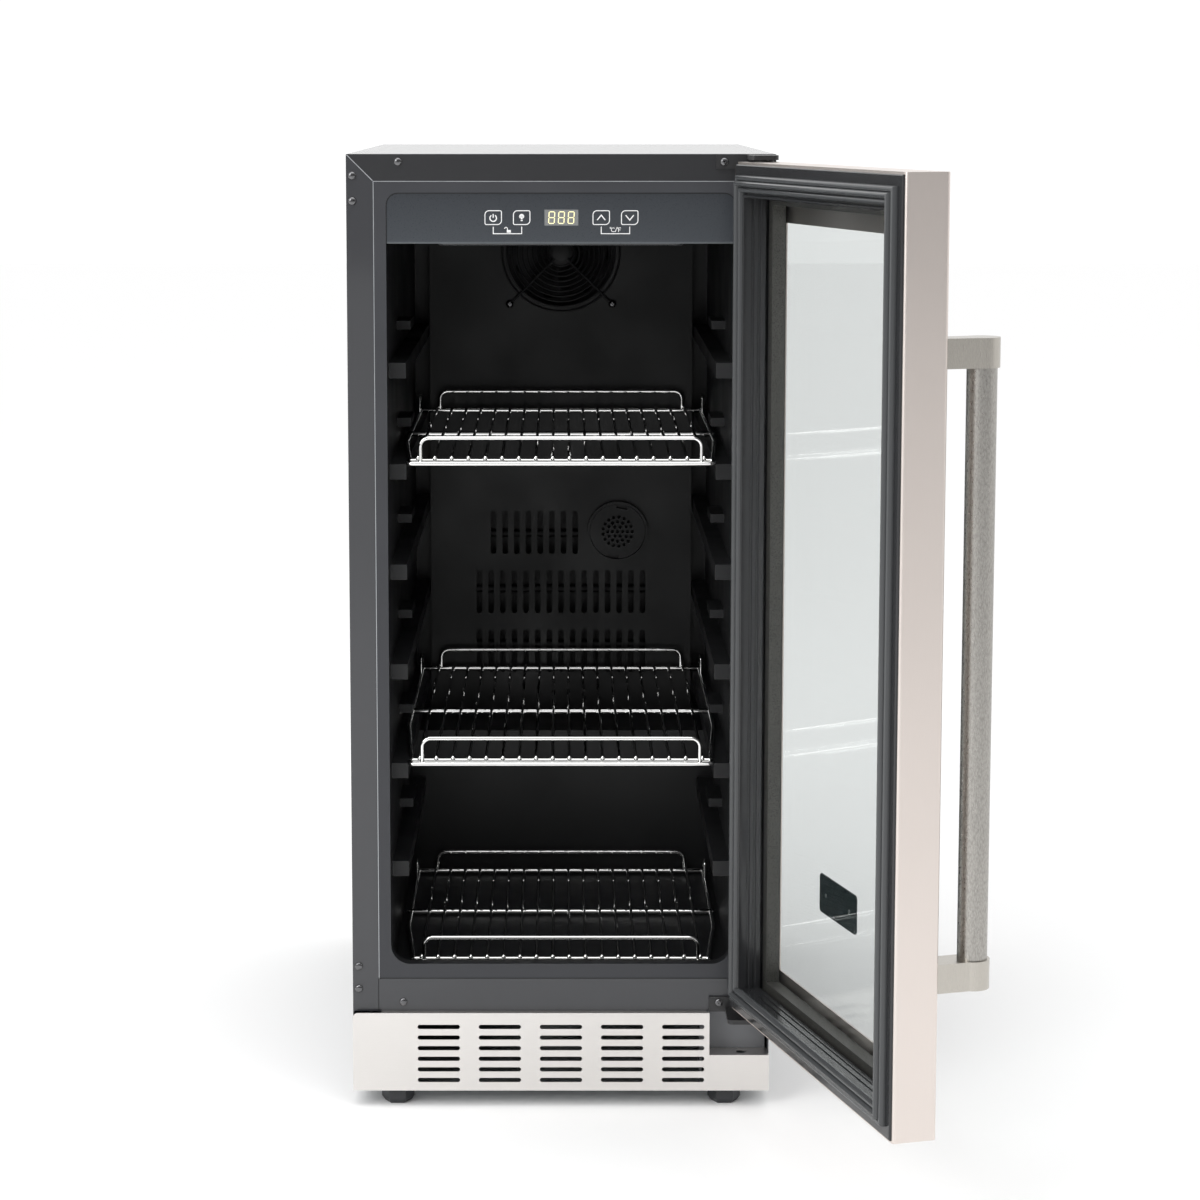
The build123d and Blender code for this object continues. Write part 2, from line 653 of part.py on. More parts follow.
# ================================================================ compressor bay
pan_top = foot_height + pan_sheet
plate_z = pan_top + grommet_h
mount_points = [
    (comp_x + sx * (comp_plate_x / 2 - 10), bay_y + sy * (comp_plate_y / 2 - 10))
    for sx in (-1, 1)
    for sy in (-1, 1)
]

with BuildPart() as compressor:
    with BuildSketch(Plane.XY.offset(plate_z)):
        with Locations((comp_x, bay_y)):
            RectangleRounded(comp_plate_x, comp_plate_y, 8)
        with Locations(*mount_points):
            Circle(4, mode=Mode.SUBTRACT)
    extrude(amount=comp_plate)
    with BuildSketch(Plane.XY.offset(plate_z + comp_plate)):
        with Locations((comp_x, bay_y)):
            Circle(comp_r - 6)
    extrude(amount=comp_h)
    fillet(compressor.edges().group_by(Axis.Z)[-1], 34)
    with BuildSketch(Plane.XY.offset(plate_z + comp_plate + 52)):
        with Locations((comp_x, bay_y)):
            Circle(comp_r - 3)
    extrude(amount=5)
save(compressor.part, "compressor")

with BuildPart() as compressor_grommets:
    with BuildSketch(Plane.XY.offset(pan_top)):
        with Locations(*mount_points):
            Circle(grommet_r)
            Circle(3, mode=Mode.SUBTRACT)
    extrude(amount=grommet_h)
save(compressor_grommets.part, "compressor_grommets")

with BuildPart() as compressor_bolts:
    with BuildSketch(Plane.XY.offset(pan_top)):
        with Locations(*mount_points):
            Circle(3)
    extrude(amount=grommet_h + comp_plate)
    with BuildSketch(Plane.XY.offset(plate_z + comp_plate)):
        with Locations(*mount_points):
            RegularPolygon(6, 6)
    extrude(amount=5)
save(compressor_bolts.part, "compressor_bolts")

with BuildPart() as relay_box:
    with BuildSketch(Plane.XY.offset(plate_z + 40)):
        span(comp_x - 26, bay_y + comp_r - 14, comp_x + 26, bay_y + comp_r + 6)
    extrude(amount=58)
    fillet(relay_box.edges().filter_by(Axis.Z), 3)
    with BuildSketch(Plane.XY.offset(plate_z + 40)):
        with Locations((comp_x, bay_y)):
            Circle(comp_r - 2.9)
    extrude(amount=58, mode=Mode.SUBTRACT)
save(relay_box.part, "relay_box")

with BuildPart() as drip_tray:
    tray_bottom = plate_z + comp_plate + comp_h
    with BuildSketch(Plane.XY.offset(tray_bottom)):
        with Locations((comp_x, bay_y)):
            RectangleRounded(150, 124, 10)
    extrude(amount=22)
    with BuildSketch(Plane.XY.offset(tray_bottom + 1.6)):
        with Locations((comp_x, bay_y)):
            RectangleRounded(146.8, 120.8, 8.4)
    extrude(amount=22, mode=Mode.SUBTRACT)
save(drip_tray.part, "drip_tray")

shroud_z1 = bay_roof - sheet - 6
with BuildPart() as condenser_fan_shroud:
    with BuildSketch(Plane.YZ.offset(fan2_x - 8)):
        span(front + bay_front + 8, pan_top, back - 16, shroud_z1)
        with Locations((bay_y, fan2_z)):
            Circle(fan2_r + 3, mode=Mode.SUBTRACT)
    extrude(amount=2)
    with BuildSketch(Plane.YZ.offset(fan2_x - 6)):
        with Locations((bay_y, fan2_z)):
            Circle(fan2_r + 5)
            Circle(fan2_r + 3, mode=Mode.SUBTRACT)
    extrude(amount=10)
save(condenser_fan_shroud.part, "condenser_fan_shroud")

with BuildPart() as condenser_fan_rotor:
    with BuildSketch(Plane.YZ.offset(fan2_x)):
        with Locations((bay_y, fan2_z)):
            Circle(fan2_hub)
    extrude(amount=18)
    with Locations(Plane(Plane.YZ.offset(fan2_x + 9).location * Pos(bay_y, fan2_z, 0))):
        with PolarLocations(33, 5):
            Box(34, 28, 1.6, rotation=(28, 0, 0))
    with BuildSketch(Plane.YZ.offset(fan2_x - 10)):
        with Locations((bay_y, fan2_z)):
            Circle(3 + pin_clearance)
    extrude(amount=40, mode=Mode.SUBTRACT)
save(condenser_fan_rotor.part, "condenser_fan_rotor")

motor_x = fan2_x + 20
with BuildPart() as condenser_fan_motor:
    with BuildSketch(Plane.YZ.offset(motor_x)):
        with Locations((bay_y, fan2_z)):
            Circle(23)
    extrude(amount=24)
    with BuildSketch(Plane.YZ.offset(motor_x + 24)):
        with Locations((bay_y, fan2_z)):
            Rectangle(16, 160)
    extrude(amount=2)
    with BuildSketch(Plane.YZ.offset(fan2_x - 6)):
        with Locations((bay_y, fan2_z - 79), (bay_y, fan2_z + 79)):
            Rectangle(16, 2)
    extrude(amount=motor_x + 26 - fan2_x + 6)
    with BuildSketch(Plane.YZ.offset(fan2_x)):
        with Locations((bay_y, fan2_z)):
            Circle(3)
    extrude(amount=motor_x - fan2_x)
save(condenser_fan_motor.part, "condenser_fan_motor")

cond_y0, cond_y1 = front + bay_front + 22, back - 26
cond_xm = (cond_x0 + cond_x1) / 2
tube_rows = [cond_z0 + 14 + tube_pitch * i for i in range(6)]
with BuildPart() as condenser_fins:
    # the fins and, as the two outermost sheets, the end plates that stand on the pan
    fins = int((cond_y1 - cond_y0) / fin_pitch) + 1
    for i in range(fins):
        with BuildSketch(Plane.XZ.offset(-(cond_y0 + i * fin_pitch))):
            span(cond_x0, cond_z0, cond_x1, cond_z1)
            with Locations(*[(cond_xm, z) for z in tube_rows]):
                Circle(tube_r, mode=Mode.SUBTRACT)
        extrude(amount=fin_thick)
    for y in (cond_y0 - 4, cond_y1 + 3):
        with BuildSketch(Plane.XZ.offset(-y)):
            span(cond_x0 - 2, pan_top, cond_x1 + 2, cond_z1 + 2)
            with Locations(*[(cond_xm, z) for z in tube_rows]):
                Circle(tube_r, mode=Mode.SUBTRACT)
        extrude(amount=1.2)
save(condenser_fins.part, "condenser_fins")

with BuildPart() as condenser_tube:
    points = []
    for i, z in enumerate(tube_rows):
        ends = (cond_y1 + 14, cond_y0 - 14) if i % 2 == 1 else (cond_y0 - 14, cond_y1 + 14)
        points += [(cond_xm, y, z) for y in ends]
    bar(points, tube_r, tube_pitch / 2 - 7)
save(condenser_tube.part, "condenser_tube")

with BuildPart() as refrigerant_pipes:
    pipe_z = shroud_z1 - 8
    bar(
        [
            (comp_x + 50, bay_y + 30, plate_z + 60),
            (comp_x + 64, bay_y + 44, plate_z + 60),
            (comp_x + 78, back - 9, plate_z + 60),
            (comp_x + 78, back - 9, pipe_z),
            (cond_xm, back - 9, pipe_z),
            (cond_xm, back - 9, tube_rows[-1] + tube_r + 0.1),
        ],
        3,
        6,
    )
save(refrigerant_pipes.part, "refrigerant_pipes")

gland_x, gland_z = right - 40.0, 60.0
cover_screw_points = [(sx * (right - 12), z) for sx in (-1, 1) for z in (30, 125, 220)]
with BuildPart() as machine_cover:
    with BuildSketch(facing(depth - sheet)):
        span(left + sheet, foot_height + 2, right - sheet, bay_roof - sheet - 0.2)
        with Locations((0, 150)):
            with GridLocations(52, 11, 6, 12):
                SlotOverall(40, 5, mode=Mode.SUBTRACT)
        with Locations((gland_x, gland_z)):
            Circle(10, mode=Mode.SUBTRACT)
        with Locations(*cover_screw_points):
            Circle(screw_r, mode=Mode.SUBTRACT)
    extrude(amount=-sheet)
save(machine_cover.part, "machine_cover")

with BuildPart() as cover_screws:
    with BuildSketch(facing(depth)):
        with Locations(*cover_screw_points):
            Circle(screw_head_r)
    extrude(amount=-screw_head_h)
    fillet(cover_screws.edges().group_by(Axis.Y)[-1], screw_head_h * 0.7)
    with BuildSketch(facing(depth)):
        with Locations(*cover_screw_points):
            Circle(screw_r)
    extrude(amount=screw_length)
save(cover_screws.part, "cover_screws")

with BuildPart() as cord_gland:
    with BuildSketch(facing(depth - sheet)):
        with Locations((gland_x, gland_z)):
            Circle(14)
    extrude(amount=3)
    with BuildSketch(facing(depth - sheet)):
        with Locations((gland_x, gland_z)):
            Circle(10)
    extrude(amount=-sheet - 12)
    fillet(cord_gland.edges().group_by(Axis.Y)[-1], 3)
    with BuildSketch(facing(depth + 20)):
        with Locations((gland_x, gland_z)):
            Circle(4.5)
    extrude(amount=40, mode=Mode.SUBTRACT)
save(cord_gland.part, "cord_gland")

# ============================================================================ feet
feet = {
    "front_left": (-foot_x, front + foot_in),
    "front_right": (foot_x, front + foot_in),
    "rear_left": (-rear_foot_x, back - rear_foot_in),
    "rear_right": (rear_foot_x, back - rear_foot_in),
}
for corner, (x, y) in feet.items():
    with BuildPart() as levelling_foot:
        with BuildSketch(Plane.XY) as base:
            with Locations((x, y)):
                RegularPolygon(foot_base_r, 6)
        with BuildSketch(Plane.XY.offset(foot_pad * 0.3)):
            with Locations((x, y)):
                RegularPolygon(foot_r, 6)
        loft()
        with BuildSketch(Plane.XY.offset(foot_pad * 0.3)):
            with Locations((x, y)):
                RegularPolygon(foot_r, 6)
        extrude(amount=foot_pad * 0.7)
        with BuildSketch(Plane.XY.offset(foot_pad)):
            with Locations((x, y)):
                Circle(stud_r)
        extrude(amount=stud_length)
    save(levelling_foot.part, f"levelling_foot_{corner}")

with BuildPart() as foot_nuts:
    with BuildSketch(Plane.XY.offset(pan_top)):
        with Locations(*feet.values()):
            RegularPolygon(nut_r, 6)
            Circle(stud_r + stud_clearance, mode=Mode.SUBTRACT)
    extrude(amount=nut_height)
save(foot_nuts.part, "foot_nuts")

# ============================================================================ door
plate_back = door_d1 - door_sheet
glass_d1 = plate_back
glass_d0 = glass_d1 - glass_thick
spacer_d0 = glass_d0 - glass_gap
pane_d0 = spacer_d0 - glass_thick
handle_x = left + handle_edge
standoff_z = (handle_z0 + standoff_h / 2, handle_z1 - standoff_h / 2)

with BuildPart() as door_frame:
    with BuildSketch(on_door(door_d0)):
        span(left, door_bottom, right, door_top)
    extrude(amount=door_d1 - door_d0)
    fillet(door_frame.edges().filter_by(Axis.Z), 3)
    with BuildSketch(on_door(door_d0 + door_sheet)):
        span(
            left + door_sheet,
            door_bottom + door_sheet,
            right - door_sheet,
            door_top - door_sheet,
        )
    extrude(amount=plate_back - door_d0 - door_sheet, mode=Mode.SUBTRACT)
    with BuildSketch(on_door(door_d0)):
        span(
            left + door_return,
            door_bottom + door_return,
            right - door_return,
            door_top - door_return,
        )
    extrude(amount=door_sheet, mode=Mode.SUBTRACT)
    with BuildSketch(on_door(plate_back)):
        span(-view_x, view_z0, view_x, view_z1)
        with Locations(*[(handle_x, z) for z in standoff_z]):
            Circle(handle_screw_r)
    extrude(amount=door_sheet, mode=Mode.SUBTRACT)
    for z, way in ((door_top, -1), (door_bottom, 1)):
        with BuildSketch(door_level(z)):
            Circle(bush_r)
        extrude(amount=way * door_sheet, mode=Mode.SUBTRACT)
save(door_frame.part, "door_frame")

with BuildPart() as door_core:
    with BuildSketch(on_door(door_d0 + door_sheet)):
        span(
            left + door_sheet,
            door_bottom + door_sheet,
            right - door_sheet,
            door_top - door_sheet,
        )
        span(-glass_x, glass_z0, glass_x, glass_z1, Mode.SUBTRACT)
    extrude(amount=plate_back - door_d0 - door_sheet)
    with BuildSketch(on_door(plate_back)):
        with Locations(*[(handle_x, z) for z in standoff_z]):
            Circle(5)
    extrude(amount=-5, mode=Mode.SUBTRACT)
    for z, way in ((door_top, -1), (door_bottom, 1)):
        with BuildSketch(door_level(z)):
            Circle(bush_r)
        extrude(amount=way * (pin_length + 1), mode=Mode.SUBTRACT)
save(door_core.part, "door_core")

with BuildPart() as outer_glass:
    with BuildSketch(on_door(glass_d0)):
        span(-glass_x, glass_z0, glass_x, glass_z1)
    extrude(amount=glass_thick)
save(outer_glass.part, "outer_glass")

with BuildPart() as glass_spacer:
    x, z0, z1 = glass_x - spacer_inset, glass_z0 + spacer_inset, glass_z1 - spacer_inset
    w = spacer_width
    with BuildSketch(on_door(spacer_d0)):
        span(-x, z0, x, z1)
        span(-x + w, z0 + w, x - w, z1 - w, Mode.SUBTRACT)
    extrude(amount=glass_gap)
save(glass_spacer.part, "glass_spacer")

with BuildPart() as inner_glass:
    with BuildSketch(on_door(pane_d0)):
        span(-glass_x, glass_z0, glass_x, glass_z1)
    extrude(amount=glass_thick)
save(inner_glass.part, "inner_glass")

liner_x = right - door_liner_inset
liner_z0, liner_z1 = door_bottom + door_liner_inset, door_top - door_liner_inset
with BuildPart() as door_liner:
    with BuildSketch(on_door(door_liner_d)):
        span(-liner_x, liner_z0, liner_x, liner_z1)
        span(-inner_x, inner_z0, inner_x, inner_z1, Mode.SUBTRACT)
    extrude(amount=door_d0 - door_liner_d)
    with BuildSketch(on_door(door_d0)):
        span(-glass_x, glass_z0, glass_x, glass_z1)
        span(-inner_x, inner_z0, inner_x, inner_z1, Mode.SUBTRACT)
    extrude(amount=pane_d0 - door_d0)
save(door_liner.part, "door_liner")

with BuildPart() as door_gasket:
    x = liner_x - gasket_inset
    z0, z1 = liner_z0 + gasket_inset, liner_z1 - gasket_inset
    ridge = gasket_width / 3
    for step, (d0, inset, wide) in enumerate(
        ((4.0, 0.0, gasket_width), (gasket_d, ridge * 0.4, gasket_width - ridge))
    ):
        with BuildSketch(on_door(d0)):
            span(-x + inset, z0 + inset, x - inset, z1 - inset)
            inner = inset + wide
            span(-x + inner, z0 + inner, x - inner, z1 - inner, Mode.SUBTRACT)
        extrude(amount=door_liner_d - d0)
save(door_gasket.part, "door_gasket")

with BuildPart() as badge_plate:
    with BuildSketch(on_door(glass_d1)):
        with Locations((badge_x, badge_z)):
            RectangleRounded(badge_width, badge_height, badge_corner)
    extrude(amount=door_sheet)
save(badge_plate.part, "badge_plate")

with BuildPart() as handle_bar:
    with BuildSketch(Plane(door_level(handle_z0 + 1.5).location)):
        with Locations((handle_x - hinge_x, hinge_d - door_d1 - handle_out)):
            Circle(handle_r)
    extrude(amount=handle_z1 - handle_z0 - 3)
save(handle_bar.part, "handle_bar")

with BuildPart() as handle_standoffs:
    for z in (handle_z0, handle_z1 - standoff_h):
        with BuildSketch(door_level(z)):
            with Locations((handle_x - hinge_x, hinge_d - door_d1 - handle_out)):
                Circle(handle_r + 2)
            with Locations((handle_x - hinge_x, hinge_d - door_d1 - handle_out / 2)):
                Rectangle(standoff_w, handle_out)
        extrude(amount=standoff_h)
    with BuildSketch(door_level(handle_z0 + 1.5)):
        with Locations((handle_x - hinge_x, hinge_d - door_d1 - handle_out)):
            Circle(handle_r)
    extrude(amount=handle_z1 - handle_z0 - 3, mode=Mode.SUBTRACT)
    with BuildSketch(on_door(door_d1)):
        with Locations(*[(handle_x, z) for z in standoff_z]):
            Circle(handle_screw_r)
    extrude(amount=handle_screw_length - 4, mode=Mode.SUBTRACT)
save(handle_standoffs.part, "handle_standoffs")

with BuildPart() as handle_screws:
    with BuildSketch(on_door(plate_back)):
        with Locations(*[(handle_x, z) for z in standoff_z]):
            Circle(4.5)
    extrude(amount=-3)
    with BuildSketch(on_door(plate_back)):
        with Locations(*[(handle_x, z) for z in standoff_z]):
            Circle(handle_screw_r)
    extrude(amount=handle_screw_length - 5)
save(handle_screws.part, "handle_screws")

with BuildPart() as hinge_bushes:
    for z, way in ((door_top, -1), (door_bottom, 1)):
        with BuildSketch(door_level(z)):
            Circle(bush_r)
        extrude(amount=way * pin_length)
        with BuildSketch(door_level(z)):
            Circle(bush_rim_r)
        extrude(amount=-way * bush_rim)
        with BuildSketch(door_level(z - way * bush_rim)):
            Circle(pin_r + pin_clearance)
        extrude(amount=way * (pin_length - 1 + bush_rim), mode=Mode.SUBTRACT)
save(hinge_bushes.part, "hinge_bushes")

# ========================================================================= shelves
shelves = {
    "top": (ledge_tops[-2], 28.0, 262.0, duct_face - 10.0),
    "middle": (ledge_tops[1], 28.0, 262.0, duct_face - 10.0),
    "bottom": (floor_z + loop_drop / 2, 45.0, 217.0, hump_front - 11.0),
}
for level, (seat, y_front, y_mid, y_rear) in shelves.items():
    z = seat + rest_gap + bar_r
    y0, y1, y2 = front + y_front, front + y_mid, front + y_rear
    taper = y0 + (y1 - y0) * 0.7

    welded = []
    for side in (-1, 1):
        x, hook_y = side * shelf_side_x, y2 - hook_setback
        side_wire = [(side * (shelf_front_x - 4), y0 + 3, z), (x, taper, z), (x, y2, z)]
        welded.append(bent_wire(side_wire, 2.0, 30))
        hook = [
            (x, hook_y, z),
            (x, hook_y, z + hook_height),
            (x, hook_y - hook_length, z + hook_height),
            (x, hook_y - hook_length, z),
        ]
        welded.append(bent_wire(hook, wire_r, 4))
    for y in (y1, y2):
        ends = (-shelf_side_x - 2, y, z), (shelf_side_x + 2, y, z)
        welded.append(bent_wire(ends, bar_r, 0))

    half, rise = shelf_front_x - rail_r, loop_drop / 2
    with BuildPart() as loop:
        for side in (-1, 1):
            corners = [
                (0, y0 - loop_depth / 2, z - rise),
                (side * half, y0 - loop_depth / 2, z - rise),
                (side * half, y0 + loop_depth / 2, z + rise),
                (0, y0 + loop_depth / 2, z + rise),
            ]
            bar(corners, rail_r, loop_depth / 2 - 0.2)

    with BuildPart() as rails:
        for y, h in ((y0, rail_height), (y2, rail_height - 2)):
            bar(
                [
                    (-rail_x, y, z),
                    (-rail_x, y, z + h),
                    (rail_x, y, z + h),
                    (rail_x, y, z),
                ],
                rail_r,
                rail_corner,
            )

    with BuildPart() as wires:
        wire_z = z + bar_r + wire_r - weld
        with BuildSketch(Plane.XZ.offset(-(y2 + 3))):
            with Locations((0, wire_z)):
                with GridLocations(wire_pitch, 1, wire_count, 1):
                    Circle(wire_r)
        extrude(amount=y2 + 3 - y0)
        with Locations((0, y0, wire_z)):
            with GridLocations(wire_pitch, 1, wire_count, 1):
                Sphere(ball_r)

    shelf = Compound(children=[*welded, loop.part, rails.part, wires.part])
    save(shelf, f"shelf_{level}")
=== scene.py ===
"""Glass-door beverage cooler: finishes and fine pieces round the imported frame.

Metres. The front faces -Y, +X is to the right as the user sees it, +Z is up. Every new
piece takes its place from the frame's boxes and joints.
"""

import json
import math

import bmesh
import bpy
import numpy as np
from bpy.props import FloatProperty, FloatVectorProperty, IntProperty, PointerProperty
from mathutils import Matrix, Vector


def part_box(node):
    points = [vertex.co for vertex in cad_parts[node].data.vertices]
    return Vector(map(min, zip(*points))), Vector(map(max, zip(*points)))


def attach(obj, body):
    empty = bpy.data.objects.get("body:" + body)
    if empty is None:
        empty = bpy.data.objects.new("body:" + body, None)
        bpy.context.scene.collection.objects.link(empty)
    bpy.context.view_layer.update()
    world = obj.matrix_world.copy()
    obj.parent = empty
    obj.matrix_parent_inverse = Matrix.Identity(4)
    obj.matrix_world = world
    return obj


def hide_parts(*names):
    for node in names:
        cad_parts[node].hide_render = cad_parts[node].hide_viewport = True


bl_info = {
    "name": "Beverage Cooler",
    "version": (1, 0, 0),
    "blender": (4, 5, 0),
    "location": "View3D > Sidebar > Cooler",
    "description": "Finishes and fine pieces of a built-in glass-door cooler",
    "category": "Object",
}

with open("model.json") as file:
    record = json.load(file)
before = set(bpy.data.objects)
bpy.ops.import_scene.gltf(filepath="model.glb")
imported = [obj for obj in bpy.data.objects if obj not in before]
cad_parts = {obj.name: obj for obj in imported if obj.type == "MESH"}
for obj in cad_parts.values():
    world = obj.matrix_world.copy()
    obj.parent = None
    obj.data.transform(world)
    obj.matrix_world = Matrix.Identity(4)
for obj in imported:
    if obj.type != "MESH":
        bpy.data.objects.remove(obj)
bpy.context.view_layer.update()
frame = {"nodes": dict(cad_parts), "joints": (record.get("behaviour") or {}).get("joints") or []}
NODES = frame["nodes"]
MM = 0.001

SHELL_LOW, SHELL_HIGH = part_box("outer_wrapper")
FRONT, LEFT, RIGHT, TOP = SHELL_LOW.y, SHELL_LOW.x, SHELL_HIGH.x, SHELL_HIGH.z
RIM_WIDTH = 23.4 * MM  # of the shell's folded front rim
DOOR_JOINT = next(j for j in frame["joints"] if j["name"] == "door_hinge")
DOOR_OPEN = math.radians(-DOOR_JOINT["range_deg"][0])
HINGE = np.array(DOOR_JOINT["pos_m"])
DOOR_LOW, DOOR_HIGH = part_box("door_frame")
DOOR_BOTTOM, DOOR_TOP = DOOR_LOW.z, DOOR_HIGH.z


# ---- settings
class CoolerSizes(bpy.types.PropertyGroup):
    wire_sides: IntProperty(
        name="Wire sides", description="Flat sides round each wire", default=14, min=6
    )
    ink_height: FloatProperty(
        name="Ink height",
        description="How far the printed marks stand off the panel",
        default=0.00012,
        unit="LENGTH",
    )
    seam_width: FloatProperty(
        name="Seam width", description="Width of the folded joints", default=0.0007, unit="LENGTH"
    )
    fan_blades: IntProperty(
        name="Fan blades", description="Blades of the air fan", default=7, min=3
    )


class CoolerColours(bpy.types.PropertyGroup):
    paint: FloatVectorProperty(
        name="Cabinet paint",
        description="Satin powder coat",
        subtype="COLOR",
        default=(0.0245, 0.0257, 0.0300),
    )
    # liner: also the cavity's colour, painted darker than the rim as painted shade
    liner: FloatVectorProperty(
        name="Liner",
        description="Moulded inner liner",
        subtype="COLOR",
        default=(0.0095, 0.0099, 0.011),
    )
    steel: FloatVectorProperty(
        name="Stainless",
        description="Brushed sheet of the kickplate",
        subtype="COLOR",
        default=(0.775, 0.75, 0.725),
    )
    # painted shade: the door's stainless is a darker, warmer copy of the kickplate's steel, for the
    # darker reflections the door shows
    door_steel: FloatVectorProperty(
        name="Door steel",
        description="Brushed sheet of the door",
        subtype="COLOR",
        default=(0.71, 0.645, 0.605),
    )
    digits: FloatVectorProperty(
        name="Digits", description="Lit segments", subtype="COLOR", default=(1.0, 0.93, 0.52)
    )


# ---- surface maths
def unit(v):
    """Vectors scaled to length one along their last axis."""
    v = np.asarray(v, float)
    return v / np.maximum(np.linalg.norm(v, axis=-1, keepdims=True), 1e-12)


def on_door(x, d, z):
    """Points across the shut door, d in front of the cabinet's front face, turned about
    the hinge to where the door stands open: the turn by DOOR_OPEN about the upright axis."""
    x, d, z = np.broadcast_arrays(*(np.asarray(a, float) for a in (x, d, z)))
    u, v = x - HINGE[0], FRONT - d - HINGE[1]
    c, s = math.cos(DOOR_OPEN), math.sin(DOOR_OPEN)
    return np.stack([HINGE[0] + u * c - v * s, HINGE[1] + u * s + v * c, z], -1)


def grid_faces(rows, cols, wrap_rows=False, wrap_cols=False):
    """Quads between neighbours of a grid of points numbered row by row."""
    i = np.arange(rows if wrap_rows else rows - 1)[:, None]
    j = np.arange(cols if wrap_cols else cols - 1)[None, :]
    a, b = i * cols + j, i * cols + (j + 1) % cols
    c, d = ((i + 1) % rows) * cols + (j + 1) % cols, ((i + 1) % rows) * cols + j
    return np.stack([a, b, c, d], -1).reshape(-1, 4)


def grid(points, wrap_rows=False, wrap_cols=False, caps=False):
    """A surface from a rows x cols grid of points, with flat ends if asked."""
    rows, cols = points.shape[:2]
    faces = grid_faces(rows, cols, wrap_rows, wrap_cols).tolist()
    if caps:
        faces += [list(range(cols))[::-1], list(range((rows - 1) * cols, rows * cols))]
    return points.reshape(-1, 3), faces


def tube(path, radius, normal, closed=False, sides=14):
    """Round bar along a flat path: point + r (cos a * side + sin a * normal), where side is
    the path's direction crossed with the normal of its plane."""
    p = np.asarray(path, float)
    step = np.roll(p, -1, 0) - p
    before = np.roll(step, 1, 0)
    if not closed:
        step[-1], before[0] = before[-1], step[0]
    along = unit(unit(step) + unit(before))
    n = unit(normal)
    side = unit(np.cross(along, n))
    a = np.linspace(0, 2 * np.pi, sides, endpoint=False)[None, :, None]
    ring = p[:, None] + radius * (np.cos(a) * side[:, None] + np.sin(a) * n)
    return grid(ring, wrap_rows=closed, wrap_cols=True, caps=not closed)


def rounded(points, radius, steps=6):
    """The path through the points with each inner corner swapped for an arc."""
    p = [np.asarray(q, float) for q in points]
    out = [p[0]]
    for a, b, c in zip(p, p[1:], p[2:]):
        u, v = unit(a - b), unit(c - b)
        half = math.acos(float(np.clip(u @ v, -1, 1))) / 2
        if half > math.pi / 2 - 1e-3:
            out.append(b)
            continue
        centre = b + unit(u + v) * radius / math.sin(half)
        start = unit(b + u * radius / math.tan(half) - centre)
        end = unit(b + v * radius / math.tan(half) - centre)
        t = np.linspace(0, 1, steps + 1)[:, None]
        swing = math.acos(float(np.clip(start @ end, -1, 1)))
        arc = (np.sin((1 - t) * swing) * start + np.sin(t * swing) * end) / math.sin(swing)
        out += list(centre + radius * arc)
    return np.array(out + [p[-1]])


def ball(centre, radius, sides=12, rows=8):
    """Sphere: radius times (cos p cos a, cos p sin a, sin p)."""
    p = np.linspace(-math.pi / 2, math.pi / 2, rows)[1:-1, None]
    a = np.linspace(0, 2 * np.pi, sides, endpoint=False)[None, :]
    shape = np.broadcast_arrays(np.cos(p) * np.cos(a), np.cos(p) * np.sin(a), np.sin(p))
    return grid(np.asarray(centre) + radius * np.stack(shape, -1), wrap_cols=True, caps=True)


def turned(centre, axis, profile, sides=32):
    """Turned piece: profile pairs (radius, height) swung round an axis."""
    w = unit(axis)
    u = unit(np.cross(w, [0.3, 0.5, 0.8]))
    v = np.cross(w, u)
    r, h = np.asarray(profile, float).T
    a = np.linspace(0, 2 * np.pi, sides, endpoint=False)[None, :, None]
    ring = np.cos(a) * u + np.sin(a) * v
    points = np.asarray(centre) + r[:, None, None] * ring + h[:, None, None] * w
    return grid(points, wrap_cols=True, caps=True)


def block(low, high):
    """Box between two corners, drawn as its four sides and two ends."""
    (x0, y0, z0), (x1, y1, z1) = low, high
    ring = np.array([[x0, z0], [x1, z0], [x1, z1], [x0, z1]])
    points = np.array([[(x, y, z) for x, z in ring] for y in (y0, y1)])
    return grid(points, wrap_cols=True, caps=True)


def picture_frame(section, x0, z0, x1, z1, place, low=1.0, high=1.0):
    """A section, pairs (inset, d), carried round a rectangle with mitred corners: at each
    corner the inset runs along the diagonal, times low or high up and down the door."""
    inset, d = np.asarray(section, float).T
    corners = [(x0, z0, 1, low), (x1, z0, -1, low), (x1, z1, -1, -high), (x0, z1, 1, -high)]
    rows = [place(x + sx * inset, d, z + sz * inset) for x, z, sx, sz in corners]
    return grid(np.array(rows), wrap_rows=True, wrap_cols=True)


def flat_stroke(points, width, place, closed=False):
    """Printed line: a ribbon of even width along a path of (x, z) pairs, with mitred turns."""
    p = np.asarray(points, float)
    step = np.roll(p, -1, 0) - p
    before = np.roll(step, 1, 0)
    if not closed:
        step[-1], before[0] = before[-1], step[0]
    a, b = unit(before), unit(step)
    normal = np.stack([-(a + b)[:, 1], (a + b)[:, 0]], -1)
    normal = unit(normal) / np.maximum(np.abs(np.sum(unit(a + b) * b, -1)), 0.35)[:, None]
    sides = np.stack([p - normal * width / 2, p + normal * width / 2], 1)
    points3 = place(sides[..., 0], sides[..., 1])
    return grid(points3, wrap_rows=closed)


def mm(*pairs):
    """Pairs of millimetres in metres."""
    return [(a * MM, b * MM) for a, b in pairs]


def upright(y):
    """A way to place (x, z) pairs on the upright plane at y."""
    return lambda x, z: np.stack([x, np.full(np.shape(x), y), z], -1)


def joined(pieces):
    """Several surfaces as one list of points and faces."""
    points, faces, start = [], [], 0
    for p, f in pieces:
        points.append(p)
        faces += [[start + i for i in face] for face in f]
        start += len(p)
    return np.concatenate(points), faces


